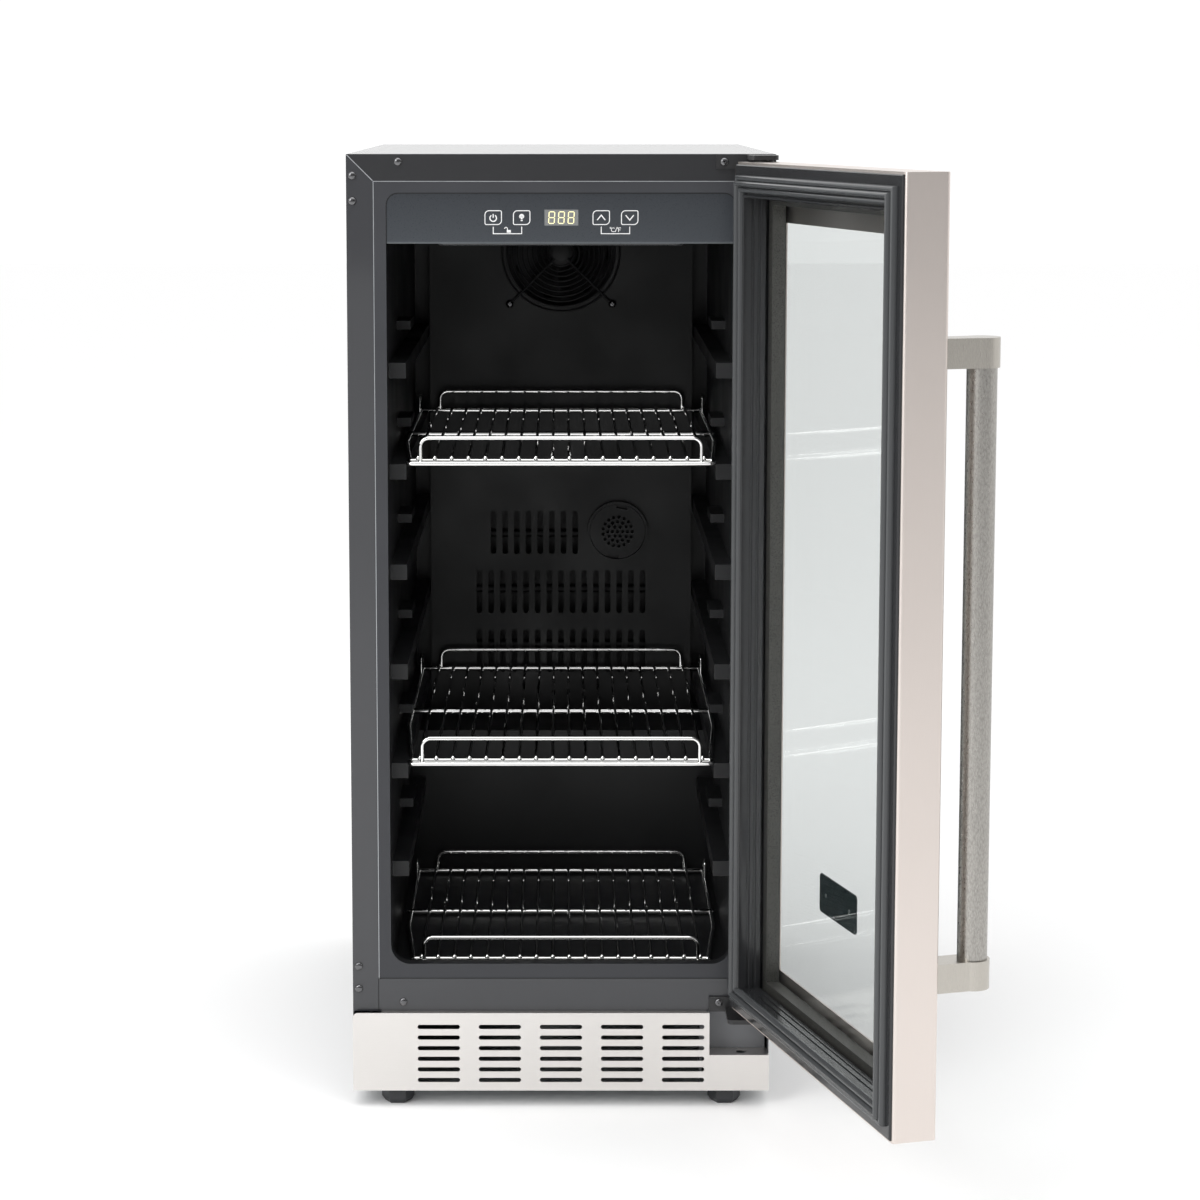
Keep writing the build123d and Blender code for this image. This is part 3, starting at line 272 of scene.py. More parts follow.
def add_piece(name, surfaces, body, slot, finish, stands_for=(), smooth=35.0):
    """Make one object of the surfaces, point its faces outwards, and set its body and
    finish; slot is not used. Turns sharper than smooth, in degrees, stay crisp."""
    points, faces = joined(surfaces)
    mesh = bpy.data.meshes.new(name)
    mesh.from_pydata(np.asarray(points).tolist(), [], [list(f) for f in faces])
    obj = bpy.data.objects.new(name, mesh)
    bpy.context.scene.collection.objects.link(obj)
    bm = bmesh.new()
    bm.from_mesh(mesh)
    bmesh.ops.recalc_face_normals(bm, faces=bm.faces)
    bm.to_mesh(mesh)
    bm.free()
    mesh.shade_smooth()
    mesh.set_sharp_from_angle(angle=math.radians(smooth))
    mesh.materials.append(material(finish))
    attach(obj, body)
    if stands_for:
        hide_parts(*stands_for)
    return obj


# ---- materials
class Val:
    """A shader socket that can be used in plain arithmetic."""

    def __init__(self, finish, socket):
        self.finish, self.socket = finish, socket

    def _math(self, kind, a, b=0.0):
        return self.finish.node("ShaderNodeMath", {"operation": kind}, {0: a, 1: b})

    def __add__(self, other):
        return self._math("ADD", self, other)

    def __rsub__(self, other):
        return self._math("SUBTRACT", other, self)

    def __mul__(self, other):
        return self._math("MULTIPLY", self, other)

    def __gt__(self, other):
        return self._math("GREATER_THAN", self, other)

    def __lt__(self, other):
        return self._math("LESS_THAN", self, other)

    def __abs__(self):
        return self._math("ABSOLUTE", self)


class Tree:
    """A node tree, and short ways to add nodes to it."""

    def __init__(self, tree):
        self.tree = tree

    def node(self, kind, settings=None, inputs=None, out=0):
        """A node with its settings made first, then its values or links."""
        n = self.tree.nodes.new(kind)
        for key, value in (settings or {}).items():
            setattr(n, key, value)
        for key, value in (inputs or {}).items():
            if isinstance(value, Val):
                self.tree.links.new(value.socket, n.inputs[key])
            else:
                n.inputs[key].default_value = value
        return Val(self, n.outputs[out])

    def coords(self, scale=(1, 1, 1)):
        """Object coordinates stretched by a scale."""
        c = self.node("ShaderNodeTexCoord", out=3)
        values = {"Vector": c, "Scale": scale}
        return self.node("ShaderNodeMapping", {"vector_type": "POINT"}, values)

    def place(self):
        """The three object coordinates as values."""
        c = self.node("ShaderNodeTexCoord", out=3)
        split = self.node("ShaderNodeSeparateXYZ", {}, {0: c}).socket.node
        return [Val(self, o) for o in split.outputs]

    def noise(self, scale, stretch=(1, 1, 1), detail=3.0, rough=0.5):
        """Smooth noise in object space, from about 0.3 to 0.7."""
        where = self.coords(stretch)
        values = {"Vector": where, "Scale": scale, "Detail": detail, "Roughness": rough}
        return self.node("ShaderNodeTexNoise", {}, values)

    def spread(self, value, low, high, from_low=0.3, from_high=0.7):
        """A value carried from one range to another."""
        ranges = {"Value": value, 1: from_low, 2: from_high, 3: low, 4: high}
        return self.node("ShaderNodeMapRange", {}, ranges)

    def blend(self, factor, a, b):
        """Mix of two colours."""
        n = self.tree.nodes.new("ShaderNodeMix")
        n.data_type = "RGBA"
        self.tree.links.new(factor.socket, n.inputs[0])
        for socket, colour in ((n.inputs[6], a), (n.inputs[7], b)):
            if isinstance(colour, Val):
                self.tree.links.new(colour.socket, socket)
            else:
                socket.default_value = (*colour, 1)
        return Val(self, n.outputs[2])


class Finish(Tree):
    """One material and its Principled shader."""

    def __init__(self, name, colour, rough, metal=0.0, coat=0.0, specular=0.5):
        self.material = bpy.data.materials.new(name)
        self.material.use_nodes = True
        super().__init__(self.material.node_tree)
        self.shader = self.tree.nodes["Principled BSDF"]
        self.output = self.tree.nodes["Material Output"]
        self.set("Base Color", (*colour, 1))
        self.set("Roughness", rough)
        self.set("Metallic", metal)
        self.set("Coat Weight", coat)
        self.set("Coat Roughness", 0.06)
        self.set("Specular IOR Level", specular)
        self.material.diffuse_color = (*colour, 1)

    def set(self, socket, value):
        """A value or a link into one of the shader's sockets."""
        target = self.shader.inputs[socket]
        if isinstance(value, Val):
            self.tree.links.new(value.socket, target)
        else:
            target.default_value = value

    def bump(self, height, strength, distance):
        """Relief from a height value."""
        sizes = {"Height": height, "Strength": strength, "Distance": distance}
        self.set("Normal", self.node("ShaderNodeBump", {}, sizes))


def shade(colour, k):
    """A colour made lighter or darker by a factor."""
    return tuple(min(1.0, c * k) for c in colour)


def powder_coat(name, colour, rough=0.42, grain=900.0, bump=0.06, coat=0.0, painted_top_shade=1.0):
    """Painted sheet: a fine orange-peel grain and slow, faint changes in tone. The top
    flange, the part nearer the top edge than either side edge, may be painted darker as painted
    shade."""
    f = Finish(name, colour, rough, coat=coat)
    slow = f.noise(6.0, detail=2.0)
    tone = f.blend(slow, shade(colour, 0.86), shade(colour, 1.14))
    # painted shade: the top flange of the front rim is darkened, though it faces the same way as
    # the side flanges
    if painted_top_shade < 1.0:
        x, y, z = f.place()
        drop, near = TOP - z, RIGHT - abs(x)
        flange = (drop < near) * (drop < RIM_WIDTH) * (y < FRONT + 0.002)
        painted_shade_colour = f.blend(slow, shade(colour, painted_top_shade * 0.9), shade(colour, painted_top_shade * 1.1))
        tone = f.blend(flange, tone, painted_shade_colour)
    f.set("Base Color", tone)
    fine = f.noise(grain, detail=2.0)
    f.set("Roughness", f.spread(fine, rough - 0.05, rough + 0.07))
    f.bump(fine, bump, 0.0004)
    return f.material


def moulded(name, colour, rough, grain=700.0, bump=0.1):
    """Moulded plastic with a fine spark-eroded grain."""
    f = Finish(name, colour, rough)
    fine = f.noise(grain, detail=4.0)
    wear = f.noise(14.0, detail=3.0)
    f.set("Base Color", f.blend(wear, shade(colour, 0.8), shade(colour, 1.2)))
    f.set("Roughness", f.spread(wear, rough - 0.06, rough + 0.08))
    f.bump(fine, bump, 0.0003)
    return f.material


def smooth_rubber(name, colour, rough):
    """Extruded or polished plastic: an even tone with only a slow change in gloss."""
    f = Finish(name, colour, rough)
    slow = f.noise(9.0, detail=2.0)
    f.set("Base Color", f.blend(slow, shade(colour, 0.94), shade(colour, 1.06)))
    f.set("Roughness", f.spread(slow, rough - 0.03, rough + 0.04))
    return f.material


def liner_finish(name, rim, painted_shade_colour):
    """Moulded liner, one plastic: the rim at the front has the lighter, lit colour and the cavity
    behind it the darker colour, as painted shade of the hollow.
    """
    f = Finish(name, rim, 0.42)
    _, y, _ = f.place()
    wear, fine = f.noise(14.0), f.noise(700.0, detail=4.0)
    # painted shade: just behind the front face the liner turns to the dark cavity colour
    cavity_shade_mask = f.spread(y, 0.0, 1.0, FRONT + 0.0006, FRONT + 0.0030)
    front = f.blend(wear, shade(rim, 0.9), shade(rim, 1.12))
    back = f.blend(wear, shade(painted_shade_colour, 0.7), shade(painted_shade_colour, 1.3))
    f.set("Base Color", f.blend(cavity_shade_mask, front, back))
    f.set("Roughness", f.spread(wear, 0.36, 0.5))
    f.bump(fine, 0.08, 0.0003)
    return f.material


def fascia_finish(name, high, low, edge):
    """Panel film: painted shade makes its tone run from the darker top colour to the lighter lower
    one, with a painted highlight along the lower edge.
    """
    f = Finish(name, high, 0.32)
    fascia_low, fascia_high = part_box("control_fascia")
    *_, z = f.place()
    # painted shade: the panel is darker towards its top
    painted_shade_ramp = f.spread(z, 1.0, 0.0, fascia_low.z, fascia_high.z)
    # painted highlight: a thin light band along the lower edge
    rim = z < fascia_low.z + 0.0016
    f.set("Base Color", f.blend(rim, f.blend(painted_shade_ramp, high, low), edge))
    fine = f.noise(1500.0, detail=2.0)
    f.set("Roughness", f.spread(fine, 0.26, 0.38))
    f.bump(fine, 0.03, 0.0002)
    return f.material


def brushed(name, colour, rough, stretch):
    """Brushed metal: noise drawn out along the grain sets shade, gloss and tiny scratches."""
    f = Finish(name, colour, rough, metal=1.0)
    lines = f.noise(90.0, stretch, detail=5.0, rough=0.65)
    wide = f.noise(5.0, detail=2.0)
    f.set("Base Color", f.blend(lines, shade(colour, 0.95), shade(colour, 1.05)))
    f.set("Roughness", f.spread(lines * 0.7 + wide * 0.3, rough - 0.06, rough + 0.1))
    f.bump(lines, 0.05, 0.0002)
    return f.material


def etched_bar(name, colour):
    """Handle bar: finely etched all over, with bright high spots drawn out along the bar."""
    f = Finish(name, colour, 0.3, metal=1.0)
    cells = f.node(
        "ShaderNodeTexVoronoi",
        {"feature": "F1"},
        {"Vector": f.coords((1, 1, 0.35)), "Scale": 1000.0},
    )
    fine = f.noise(800.0, (1, 1, 0.4), detail=3.0)
    f.set("Base Color", f.blend(cells, shade(colour, 1.1), shade(colour, 0.72)))
    f.set("Roughness", f.spread(fine, 0.24, 0.4))
    f.bump(cells * 0.8 + fine * 0.3, 0.12, 0.0002)
    return f.material


def chrome(name):
    """Bright chrome wire, a true mirror, with a trace of cloudiness in its tone."""
    f = Finish(name, (0.86, 0.86, 0.85), 0.0, metal=1.0)
    haze = f.noise(60.0, detail=2.0)
    f.set("Base Color", f.blend(haze, (0.80, 0.80, 0.79), (0.90, 0.90, 0.89)))
    return f.material


def clear_glass(name, tint):
    """Thin pane: what lies behind shows through a faint tint, and the share that is
    mirrored instead is 0.02 plus the rest times the ninth power of how far the eye skims."""
    f = Finish(name, (1, 1, 1), 0.02, metal=1.0)
    through = f.node("ShaderNodeBsdfTransparent", {}, {"Color": (*tint, 1)})
    skim = f.node("ShaderNodeLayerWeight", {}, {"Blend": 0.5}, out=1)
    share = f.node("ShaderNodeMath", {"operation": "POWER"}, {0: skim, 1: 9.0}) * 0.98 + 0.02
    mirror = Val(f, f.shader.outputs[0])
    mixed = f.node("ShaderNodeMixShader", {}, {0: share, 1: through, 2: mirror})
    f.tree.links.new(mixed.socket, f.output.inputs["Surface"])
    return f.material


def glowing(name, colour, strength):
    """Lit segments behind a smoked window."""
    f = Finish(name, shade(colour, 0.6), 0.4)
    f.set("Emission Color", (*colour, 1))
    f.set("Emission Strength", strength)
    return f.material


def speckled(name):
    """Desiccant spacer bar: dull grey metal pricked all over with fine holes, the holes painted
    dark as painted shade.
    """
    f = Finish(name, (0.07, 0.068, 0.062), 0.45, metal=0.4)
    values = {"Vector": f.coords(), "Scale": 780.0}
    dots = f.node("ShaderNodeTexVoronoi", {"feature": "F1"}, values)
    fleck = f.noise(900.0, detail=3.0)
    plain = f.blend(fleck, (0.045, 0.044, 0.041), (0.13, 0.126, 0.116))
    # painted shade: the dots of the fine holes are darkened
    f.set("Base Color", f.blend(dots < 0.30, plain, (0.02, 0.02, 0.019)))
    f.bump(dots, 0.25, 0.0002)
    return f.material


def cast_grain(name, colour, rough, grain, bump, metal=0.0):
    """Rough body such as foam, carbon or enamel: two grains, coarse and fine."""
    f = Finish(name, colour, rough, metal=metal)
    coarse, fine = f.noise(grain, detail=4.0), f.noise(grain * 6, detail=2.0)
    f.set("Base Color", f.blend(coarse, shade(colour, 0.75), shade(colour, 1.25)))
    f.set("Roughness", f.spread(fine, rough - 0.08, rough + 0.1))
    f.bump(coarse + fine * 0.4, bump, 0.0008)
    return f.material


FINISHES = {
    # painted light: the hinge support wears the cabinet's paint; this much lighter copy stands in
    # for the light that falls on it in the kickplate's notch
    "bracket_paint": (powder_coat, "bracket paint", (0.165, 0.170, 0.180), 0.4),
    "hinge_black": (powder_coat, "hinge black", (0.018, 0.018, 0.019), 0.36, 700.0, 0.1),
    "duct_plastic": (moulded, "duct", (0.0078, 0.0080, 0.0088), 0.5),
    "black_plastic": (moulded, "black plastic", (0.02, 0.02, 0.021), 0.4),
    "dark_line": (moulded, "seam", (0.006, 0.006, 0.007), 0.6),
    # dark lines: the rim's folded joints, and the painted shadow round the fascia
    "foot": (moulded, "foot", (0.030, 0.032, 0.035), 0.5, 500.0, 0.2),
    "door_plastic": (smooth_rubber, "door plastic", (0.020, 0.0205, 0.022), 0.16),
    "gasket": (smooth_rubber, "gasket", (0.062, 0.065, 0.068), 0.2),
    # fascia: its top and lower colours paint shade down the panel, the third is a painted highlight
    # on its lower edge
    "fascia": (
        fascia_finish, "fascia", (0.025, 0.029, 0.035), (0.041, 0.047, 0.055), (0.085, 0.094, 0.102)
    ),
    "standoff_steel": (brushed, "standoff steel", (0.47, 0.445, 0.405), 0.28, (60, 60, 1)),
    # painted highlight: the light lines of the mitres and the liner's edge, not bare metal
    "light_line": (brushed, "bare edge", (0.5, 0.52, 0.54), 0.4, (1, 1, 1)),
    "aluminium": (brushed, "aluminium", (0.75, 0.76, 0.77), 0.4, (1, 1, 20)),
    "handle_steel": (etched_bar, "handle steel", (0.40, 0.385, 0.36)),
    "shelf_chrome": (chrome, "shelf chrome"),
    "glass": (clear_glass, "glass", (0.940, 0.948, 0.946)),
    "spacer": (speckled, "spacer"),
    "screw_dark": (cast_grain, "screw", (0.15, 0.15, 0.155), 0.2, 300.0, 0.03, 1.0),
    "badge": (cast_grain, "badge", (0.012, 0.02, 0.022), 0.25, 500.0, 0.03),
    "badge_pin": (cast_grain, "badge pin", (0.30, 0.31, 0.31), 0.3, 300.0, 0.02, 0.6),
    "display": (cast_grain, "display", (0.20, 0.205, 0.205), 0.2, 900.0, 0.02),
    "ink": (cast_grain, "ink", (0.82, 0.83, 0.84), 0.5, 900.0, 0.02),
    "galvanised": (cast_grain, "galvanised", (0.52, 0.54, 0.55), 0.42, 120.0, 0.05, 0.85),
    "copper": (cast_grain, "copper", (0.72, 0.36, 0.22), 0.3, 160.0, 0.05, 1.0),
    "zinc": (cast_grain, "zinc", (0.62, 0.61, 0.56), 0.35, 260.0, 0.05, 0.9),
    "foam": (cast_grain, "foam", (0.72, 0.62, 0.36), 0.85, 250.0, 0.5),
    "carbon": (cast_grain, "carbon", (0.012, 0.012, 0.012), 0.95, 500.0, 0.9),
    "enamel": (cast_grain, "enamel", (0.014, 0.014, 0.015), 0.25, 90.0, 0.08),
    "board": (cast_grain, "board", (0.02, 0.12, 0.05), 0.4, 300.0, 0.1),
    "lamp": (cast_grain, "lamp", (0.05, 0.052, 0.055), 0.3, 300.0, 0.03),
    # coil: near-black, partly the coil's dark coating and partly painted shade of the duct seen
    # through the slots
    "coil": (cast_grain, "coil", (0.016, 0.016, 0.017), 0.5, 200.0, 0.1),
    "seal": (cast_grain, "seal", (0.02, 0.02, 0.021), 0.7, 200.0, 0.2),
}
MATERIALS = {}


def chosen_finishes():
    """Finishes whose colours are set in the sidebar."""
    colours = bpy.context.scene.cooler_colours
    paint, liner = tuple(colours.paint), tuple(colours.liner)
    door_steel, steel = tuple(colours.door_steel), tuple(colours.steel)
    return {
        # cabinet paint; its last value darkens the top flange as painted shade
        "cabinet_paint": (powder_coat, "cabinet paint", paint, 0.4, 900.0, 0.06, 0.7, 0.45),
        # liner: a lit rim colour and the painted shade colour of its cavity, copies of one plastic
        "liner_plastic": (liner_finish, "liner", shade(paint, 1.22), liner),
        "housing": (moulded, "housing", liner, 0.42),
        "stainless": (brushed, "stainless", door_steel, 0.34, (60, 60, 1)),
        "stainless_flat": (brushed, "stainless flat", steel, 0.36, (1, 60, 60)),
        "digits": (glowing, "digits", tuple(colours.digits), 0.75),
    }


def material(key):
    """Each finish is made once, the first time that a piece asks for it."""
    if key not in MATERIALS:
        maker, *values = {**FINISHES, **chosen_finishes()}[key]
        MATERIALS[key] = maker(*values)
    return MATERIALS[key]


def coat_nodes(table):
    """Give CAD nodes their finish."""
    for key, names in table.items():
        for name in names:
            mesh = NODES[name].data
            mesh.materials.clear()
            mesh.materials.append(material(key))


# ---- the pieces
class COOLER_OT_cabinet(bpy.types.Operator):
    """Paint the cabinet's own sheets, liner and base"""

    bl_idname = "cooler.cabinet"
    bl_label = "Cabinet"

    def execute(self, context):
        coat_nodes(
            {
                "cabinet_paint": ["outer_wrapper", "front_rail", "machine_cover"],
                "bracket_paint": ["hinge_support"],
                "galvanised": ["back_panel", "foam_tray", "base_pan"],
                "foam": ["insulation_foam"],
                "liner_plastic": ["inner_liner"],
                "stainless_flat": ["kickplate"],
                "hinge_black": ["top_hinge_bracket", "bottom_hinge_bracket"],
                "black_plastic": ["cord_gland"],
                "foot": [n for n in NODES if n.startswith("levelling_foot")],
                "zinc": ["foot_nuts"],
            }
        )
        return {"FINISHED"}


class COOLER_OT_seams(bpy.types.Operator):
    """Lay the folded joints of the front rim, and painted highlight lines along the mitres and the
    liner's edge
    """

    bl_idname = "cooler.seams"
    bl_label = "Rim seams"

    def execute(self, context):
        width = context.scene.cooler_sizes.seam_width
        face = upright(FRONT - 0.15 * MM)
        rail_low, rail_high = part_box("front_rail")
        liner_low, liner_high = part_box("inner_liner")
        x0, x1 = liner_low.x, liner_high.x
        mitre = 0.6 * MM
        dark = [
            flat_stroke([(x0, rail_low.z), (x0, rail_high.z)], width, face),
            flat_stroke([(x1, rail_low.z), (x1, rail_high.z)], width, face),
            flat_stroke([(x0, rail_high.z), (x1, rail_high.z)], width * 1.4, face),
        ]
        add_piece("rim_seams", dark, "cabinet", "cabinet_paint", "dark_line")
        # painted highlight: light strokes down the two mitres and just inside the liner's edge
        loop = [(x0, rail_high.z), (x0, liner_high.z), (x1, liner_high.z), (x1, rail_high.z)]
        shift = width * 0.9
        inner = [(x + shift * (1 if x < 0 else -1), z - shift) for x, z in loop]
        light = [
            flat_stroke([(LEFT + mitre, TOP - mitre), (x0, liner_high.z)], width, face),
            flat_stroke([(RIGHT - mitre, TOP - mitre), (x1, liner_high.z)], width, face),
            flat_stroke(inner, width * 0.8, face),
        ]
        add_piece("liner_edge", light, "cabinet", "liner_plastic", "light_line")
        return {"FINISHED"}


def pan_head(centre, axis, radius, height, length=0.0, shank=0.002):
    """Screw: a domed head, (r cos t, h sin t) swung round its axis, over a plain shank."""
    t = np.linspace(0, math.pi / 2, 8)
    dome = [(radius * math.cos(a) ** 0.7, height * math.sin(a)) for a in t[:-1]]
    profile = [(shank, -length), (shank, 0.0), (radius, 0.0), *dome[1:], (radius * 0.12, height)]
    return turned(centre, axis, profile, 28)


class COOLER_OT_screws(bpy.types.Operator):
    """Turn the pan-head screws of the rim, hinges, duct and rear cover"""

    bl_idname = "cooler.screws"
    bl_label = "Screws"

    def execute(self, context):
        for node, axis, cross in (
            ("hinge_plugs", (0, -1, 0), False),
            ("hinge_screws", (0, -1, 0), True),
            ("panel_screws", (0, -1, 0), True),
            ("cover_screws", (0, 1, 0), True),
        ):
            surfaces = []
            for low, high in islands(node):
                centre = (low + high) / 2
                radius = (high[0] - low[0]) / 2
                head_y = low[1] if axis[1] < 0 else high[1]
                height = 2.2 * MM
                length = (high[1] - low[1]) - height
                seat = np.array([centre[0], head_y - axis[1] * height, centre[2]])
                surfaces.append(pan_head(seat, axis, radius, height, length))
                if cross:
                    y0 = seat[1] + axis[1] * height * 0.86
                    y1 = seat[1] + axis[1] * (height + 0.00006)
                    lo, hi = min(y0, y1), max(y0, y1)
                    w, l = radius * 0.13, radius * 0.5
                    for a, b in ((w, l), (l, w)):
                        corner = (centre[0] - a, lo, centre[2] - b)
                        surfaces.append(block(corner, (centre[0] + a, hi, centre[2] + b)))
            add_piece(node + "_turned", surfaces, "cabinet", "screw_dark", "screw_dark", [node])
        return {"FINISHED"}


def node_points(node):
    """All mesh points of a CAD node."""
    mesh = NODES[node].data
    co = np.zeros(len(mesh.vertices) * 3)
    mesh.vertices.foreach_get("co", co)
    return co.reshape(-1, 3)


def islands(node):
    """Low and high corners of each separate solid of a node, by joining triangles whose
    corners share a place."""
    keys, same = np.unique(np.round(node_points(node), 6), axis=0, return_inverse=True)
    same = same.ravel()
    group = np.arange(len(keys))
    polygons = NODES[node].data.polygons
    tris = np.array([[same[v] for v in p.vertices] for p in polygons])
    for _ in range(400):
        least = group[tris].min(1)
        new = group.copy()
        for k in range(3):
            np.minimum.at(new, tris[:, k], least)
        if (new == group).all():
            break
        group = new
    for g in np.unique(group):
        p = keys[group == g]
        yield p.min(0), p.max(0)


class COOLER_OT_panel(bpy.types.Operator):
    """Coat the control panel and print its keys, marks and digits"""

    bl_idname = "cooler.panel"
    bl_label = "Control panel"

    def execute(self, context):
        coat_nodes(
            {
                "fascia": ["control_fascia"],
                "housing": ["control_housing"],
                "display": ["display_window"],
                "board": ["control_board"],
                "lamp": ["led_strip"],
            }
        )
        ink = context.scene.cooler_sizes.ink_height
        low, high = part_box("display_window")
        face = upright(low.y - ink)
        mid_z = (low.z + high.z) / 2

        def place_at(cx, cz):
            return lambda x, z: face(x + cx, z + cz)

        line = 0.75 * MM
        marks = []
        outline = leaf(7.3 * MM, 6.1 * MM, 3.6 * MM, 1.2 * MM)
        keys = {"power": -60.0 * MM, "lamp": -34.8 * MM, "up": 35.6 * MM, "down": 60.8 * MM}
        for cx in keys.values():
            marks.append(flat_stroke(outline, line, place_at(cx, mid_z), True))
        marks += power_mark(place_at(keys["power"], mid_z), line)
        marks += bulb_mark(place_at(keys["lamp"], mid_z), line)
        for name, way in (("up", 1), ("down", -1)):
            s = [(-3.6 * MM, -way * 2.2 * MM), (0, way * 2.2 * MM), (3.6 * MM, -way * 2.2 * MM)]
            marks.append(flat_stroke(s, line * 1.3, place_at(keys[name], mid_z)))
        for a, b in (("power", "lamp"), ("up", "down")):
            z_hi, z_lo = mid_z - 8.0 * MM, mid_z - 14.2 * MM
            path = [(keys[a], z_hi), (keys[a], z_lo), (keys[b], z_lo), (keys[b], z_hi)]
            marks.append(flat_stroke(path, line, face))
        padlock_x, degrees_x = (keys["power"] + keys["lamp"]) / 2, (keys["up"] + keys["down"]) / 2
        marks += padlock_mark(place_at(padlock_x, mid_z - 11.2 * MM), line * 0.8)
        marks += degree_marks(place_at(degrees_x, mid_z - 10.8 * MM), line * 0.75)
        add_piece("panel_marks", marks, "cabinet", "fascia", "ink")

        base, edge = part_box("control_fascia")
        reach, round_r = edge.x + 0.1 * MM, 11 * MM
        gap = [
            (-reach, base.z),
            *[(-x, z) for x, z in arc(reach - round_r, edge.z - round_r, round_r, 0, 90, 12)],
            *arc(reach - round_r, edge.z - round_r, round_r, 90, 0, 12),
            (reach, base.z),
        ]
        # painted shadow: a dark stroke, wider than the narrow real gap, round the fascia's top and
        # sides
        shadow = flat_stroke(gap, 1.3 * MM, upright(base.y - 0.1 * MM))
        add_piece("panel_gap", [shadow], "cabinet", "fascia", "dark_line")

        digits = []
        pitch, tall, wide = 8.6 * MM, 10.2 * MM, 5.0 * MM
        centre_x = (low.x + high.x) / 2
        for i in (-1, 0, 1):
            digits += digit_eight(place_at(centre_x + i * pitch, mid_z), wide, tall)
        add_piece("display_digits", digits, "cabinet", "display", "digits")
        return {"FINISHED"}


def arc(cx, cz, radius, start, end, steps=14):
    """Points of an arc of a circle, by angle in degrees."""
    a = np.radians(np.linspace(start, end, steps))
    return [(cx + radius * math.cos(t), cz + radius * math.sin(t)) for t in a]


def leaf(w, h, big, small):
    """Key outline: a rectangle whose top left and bottom right corners are rounder."""
    return [
        *arc(-w + small, -h + small, small, 180, 270, 5),
        *arc(w - big, -h + big, big, 270, 360, 9),
        *arc(w - small, h - small, small, 0, 90, 5),
        *arc(-w + big, h - big, big, 90, 180, 9),
    ]


def power_mark(place, line):
    """Broken ring with a short bar through the gap."""
    return [
        flat_stroke(arc(0, -0.4 * MM, 2.9 * MM, 125, 415, 26), line * 1.3, place),
        flat_stroke(mm((0, 3.2), (0, -0.2)), line * 1.3, place),
    ]


def bulb_mark(place, line):
    """Light bulb: a filled round top over a short neck."""
    rim = arc(0, 1.0 * MM, 1.35 * MM, -50, 230, 20)
    return [
        flat_stroke(rim, line * 2.4, place),
        flat_stroke(mm((0, 1.6), (0, -1.6)), line * 2.2, place),
        flat_stroke(mm((-0.9, -2.6), (0.9, -2.6)), line * 1.2, place),
    ]


def padlock_mark(place, line):
    """Small open padlock."""
    return [
        flat_stroke(mm((-0.6, -0.9), (3.0, -0.9)), 2.4 * MM, place),
        flat_stroke(
            [(0.0, 0.3 * MM), *arc(-1.3 * MM, 1.3 * MM, 1.3 * MM, 0, 180, 8)], line * 1.2, place
        ),
    ]


def degree_marks(place, line):
    """The degree signs, C, slash and F of a temperature scale key."""
    signs = [arc(cx, 1.7 * MM, 0.55 * MM, 0, 330, 10) for cx in (-4.3 * MM, 1.5 * MM)]
    letters = [
        arc(-1.9 * MM, 0, 1.75 * MM, 48, 312, 16),
        mm((-0.2, -2.0), (1.3, 2.2)),
        mm((2.7, -1.8), (2.7, 1.7), (4.9, 1.7)),
        mm((2.7, 0), (4.4, 0)),
    ]
    return [flat_stroke(path, line * 0.8, place, True) for path in signs] + [
        flat_stroke(path, line, place) for path in letters
    ]


def digit_eight(place, wide, tall):
    """Seven lit segments with small gaps, leaning a little to the right."""
    thick, gap, lean = 0.85 * MM, 0.4 * MM, 0.06
    x, z = wide / 2, tall / 2

    def slanted(u, v):
        return place(u + lean * v, v)

    out = []
    for h in (-z, 0.0, z):
        out.append(flat_stroke([(-x + gap, h), (x - gap, h)], thick, slanted))
    for side in (-x, x):
        for a, b in ((gap, z - gap), (-z + gap, -gap)):
            out.append(flat_stroke([(side, a), (side, b)], thick, slanted))
    return out


class COOLER_OT_shelves(bpy.types.Operator):
    """Bend and weld the three chrome wire shelves"""

    bl_idname = "cooler.shelves"
    bl_label = "Wire shelves"

    def execute(self, context):
        sides = context.scene.cooler_sizes.wire_sides
        for level, middle in (("top", 0.5065), ("middle", 0.5065), ("bottom", 0.5196)):
            node = f"shelf_{level}"
            low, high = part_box(node)
            wires = wire_shelf(low, high, middle, sides)
            finish = "shelf_chrome"
            add_piece(node + "_wires", wires, node + "_body", finish, finish, [node])
        return {"FINISHED"}


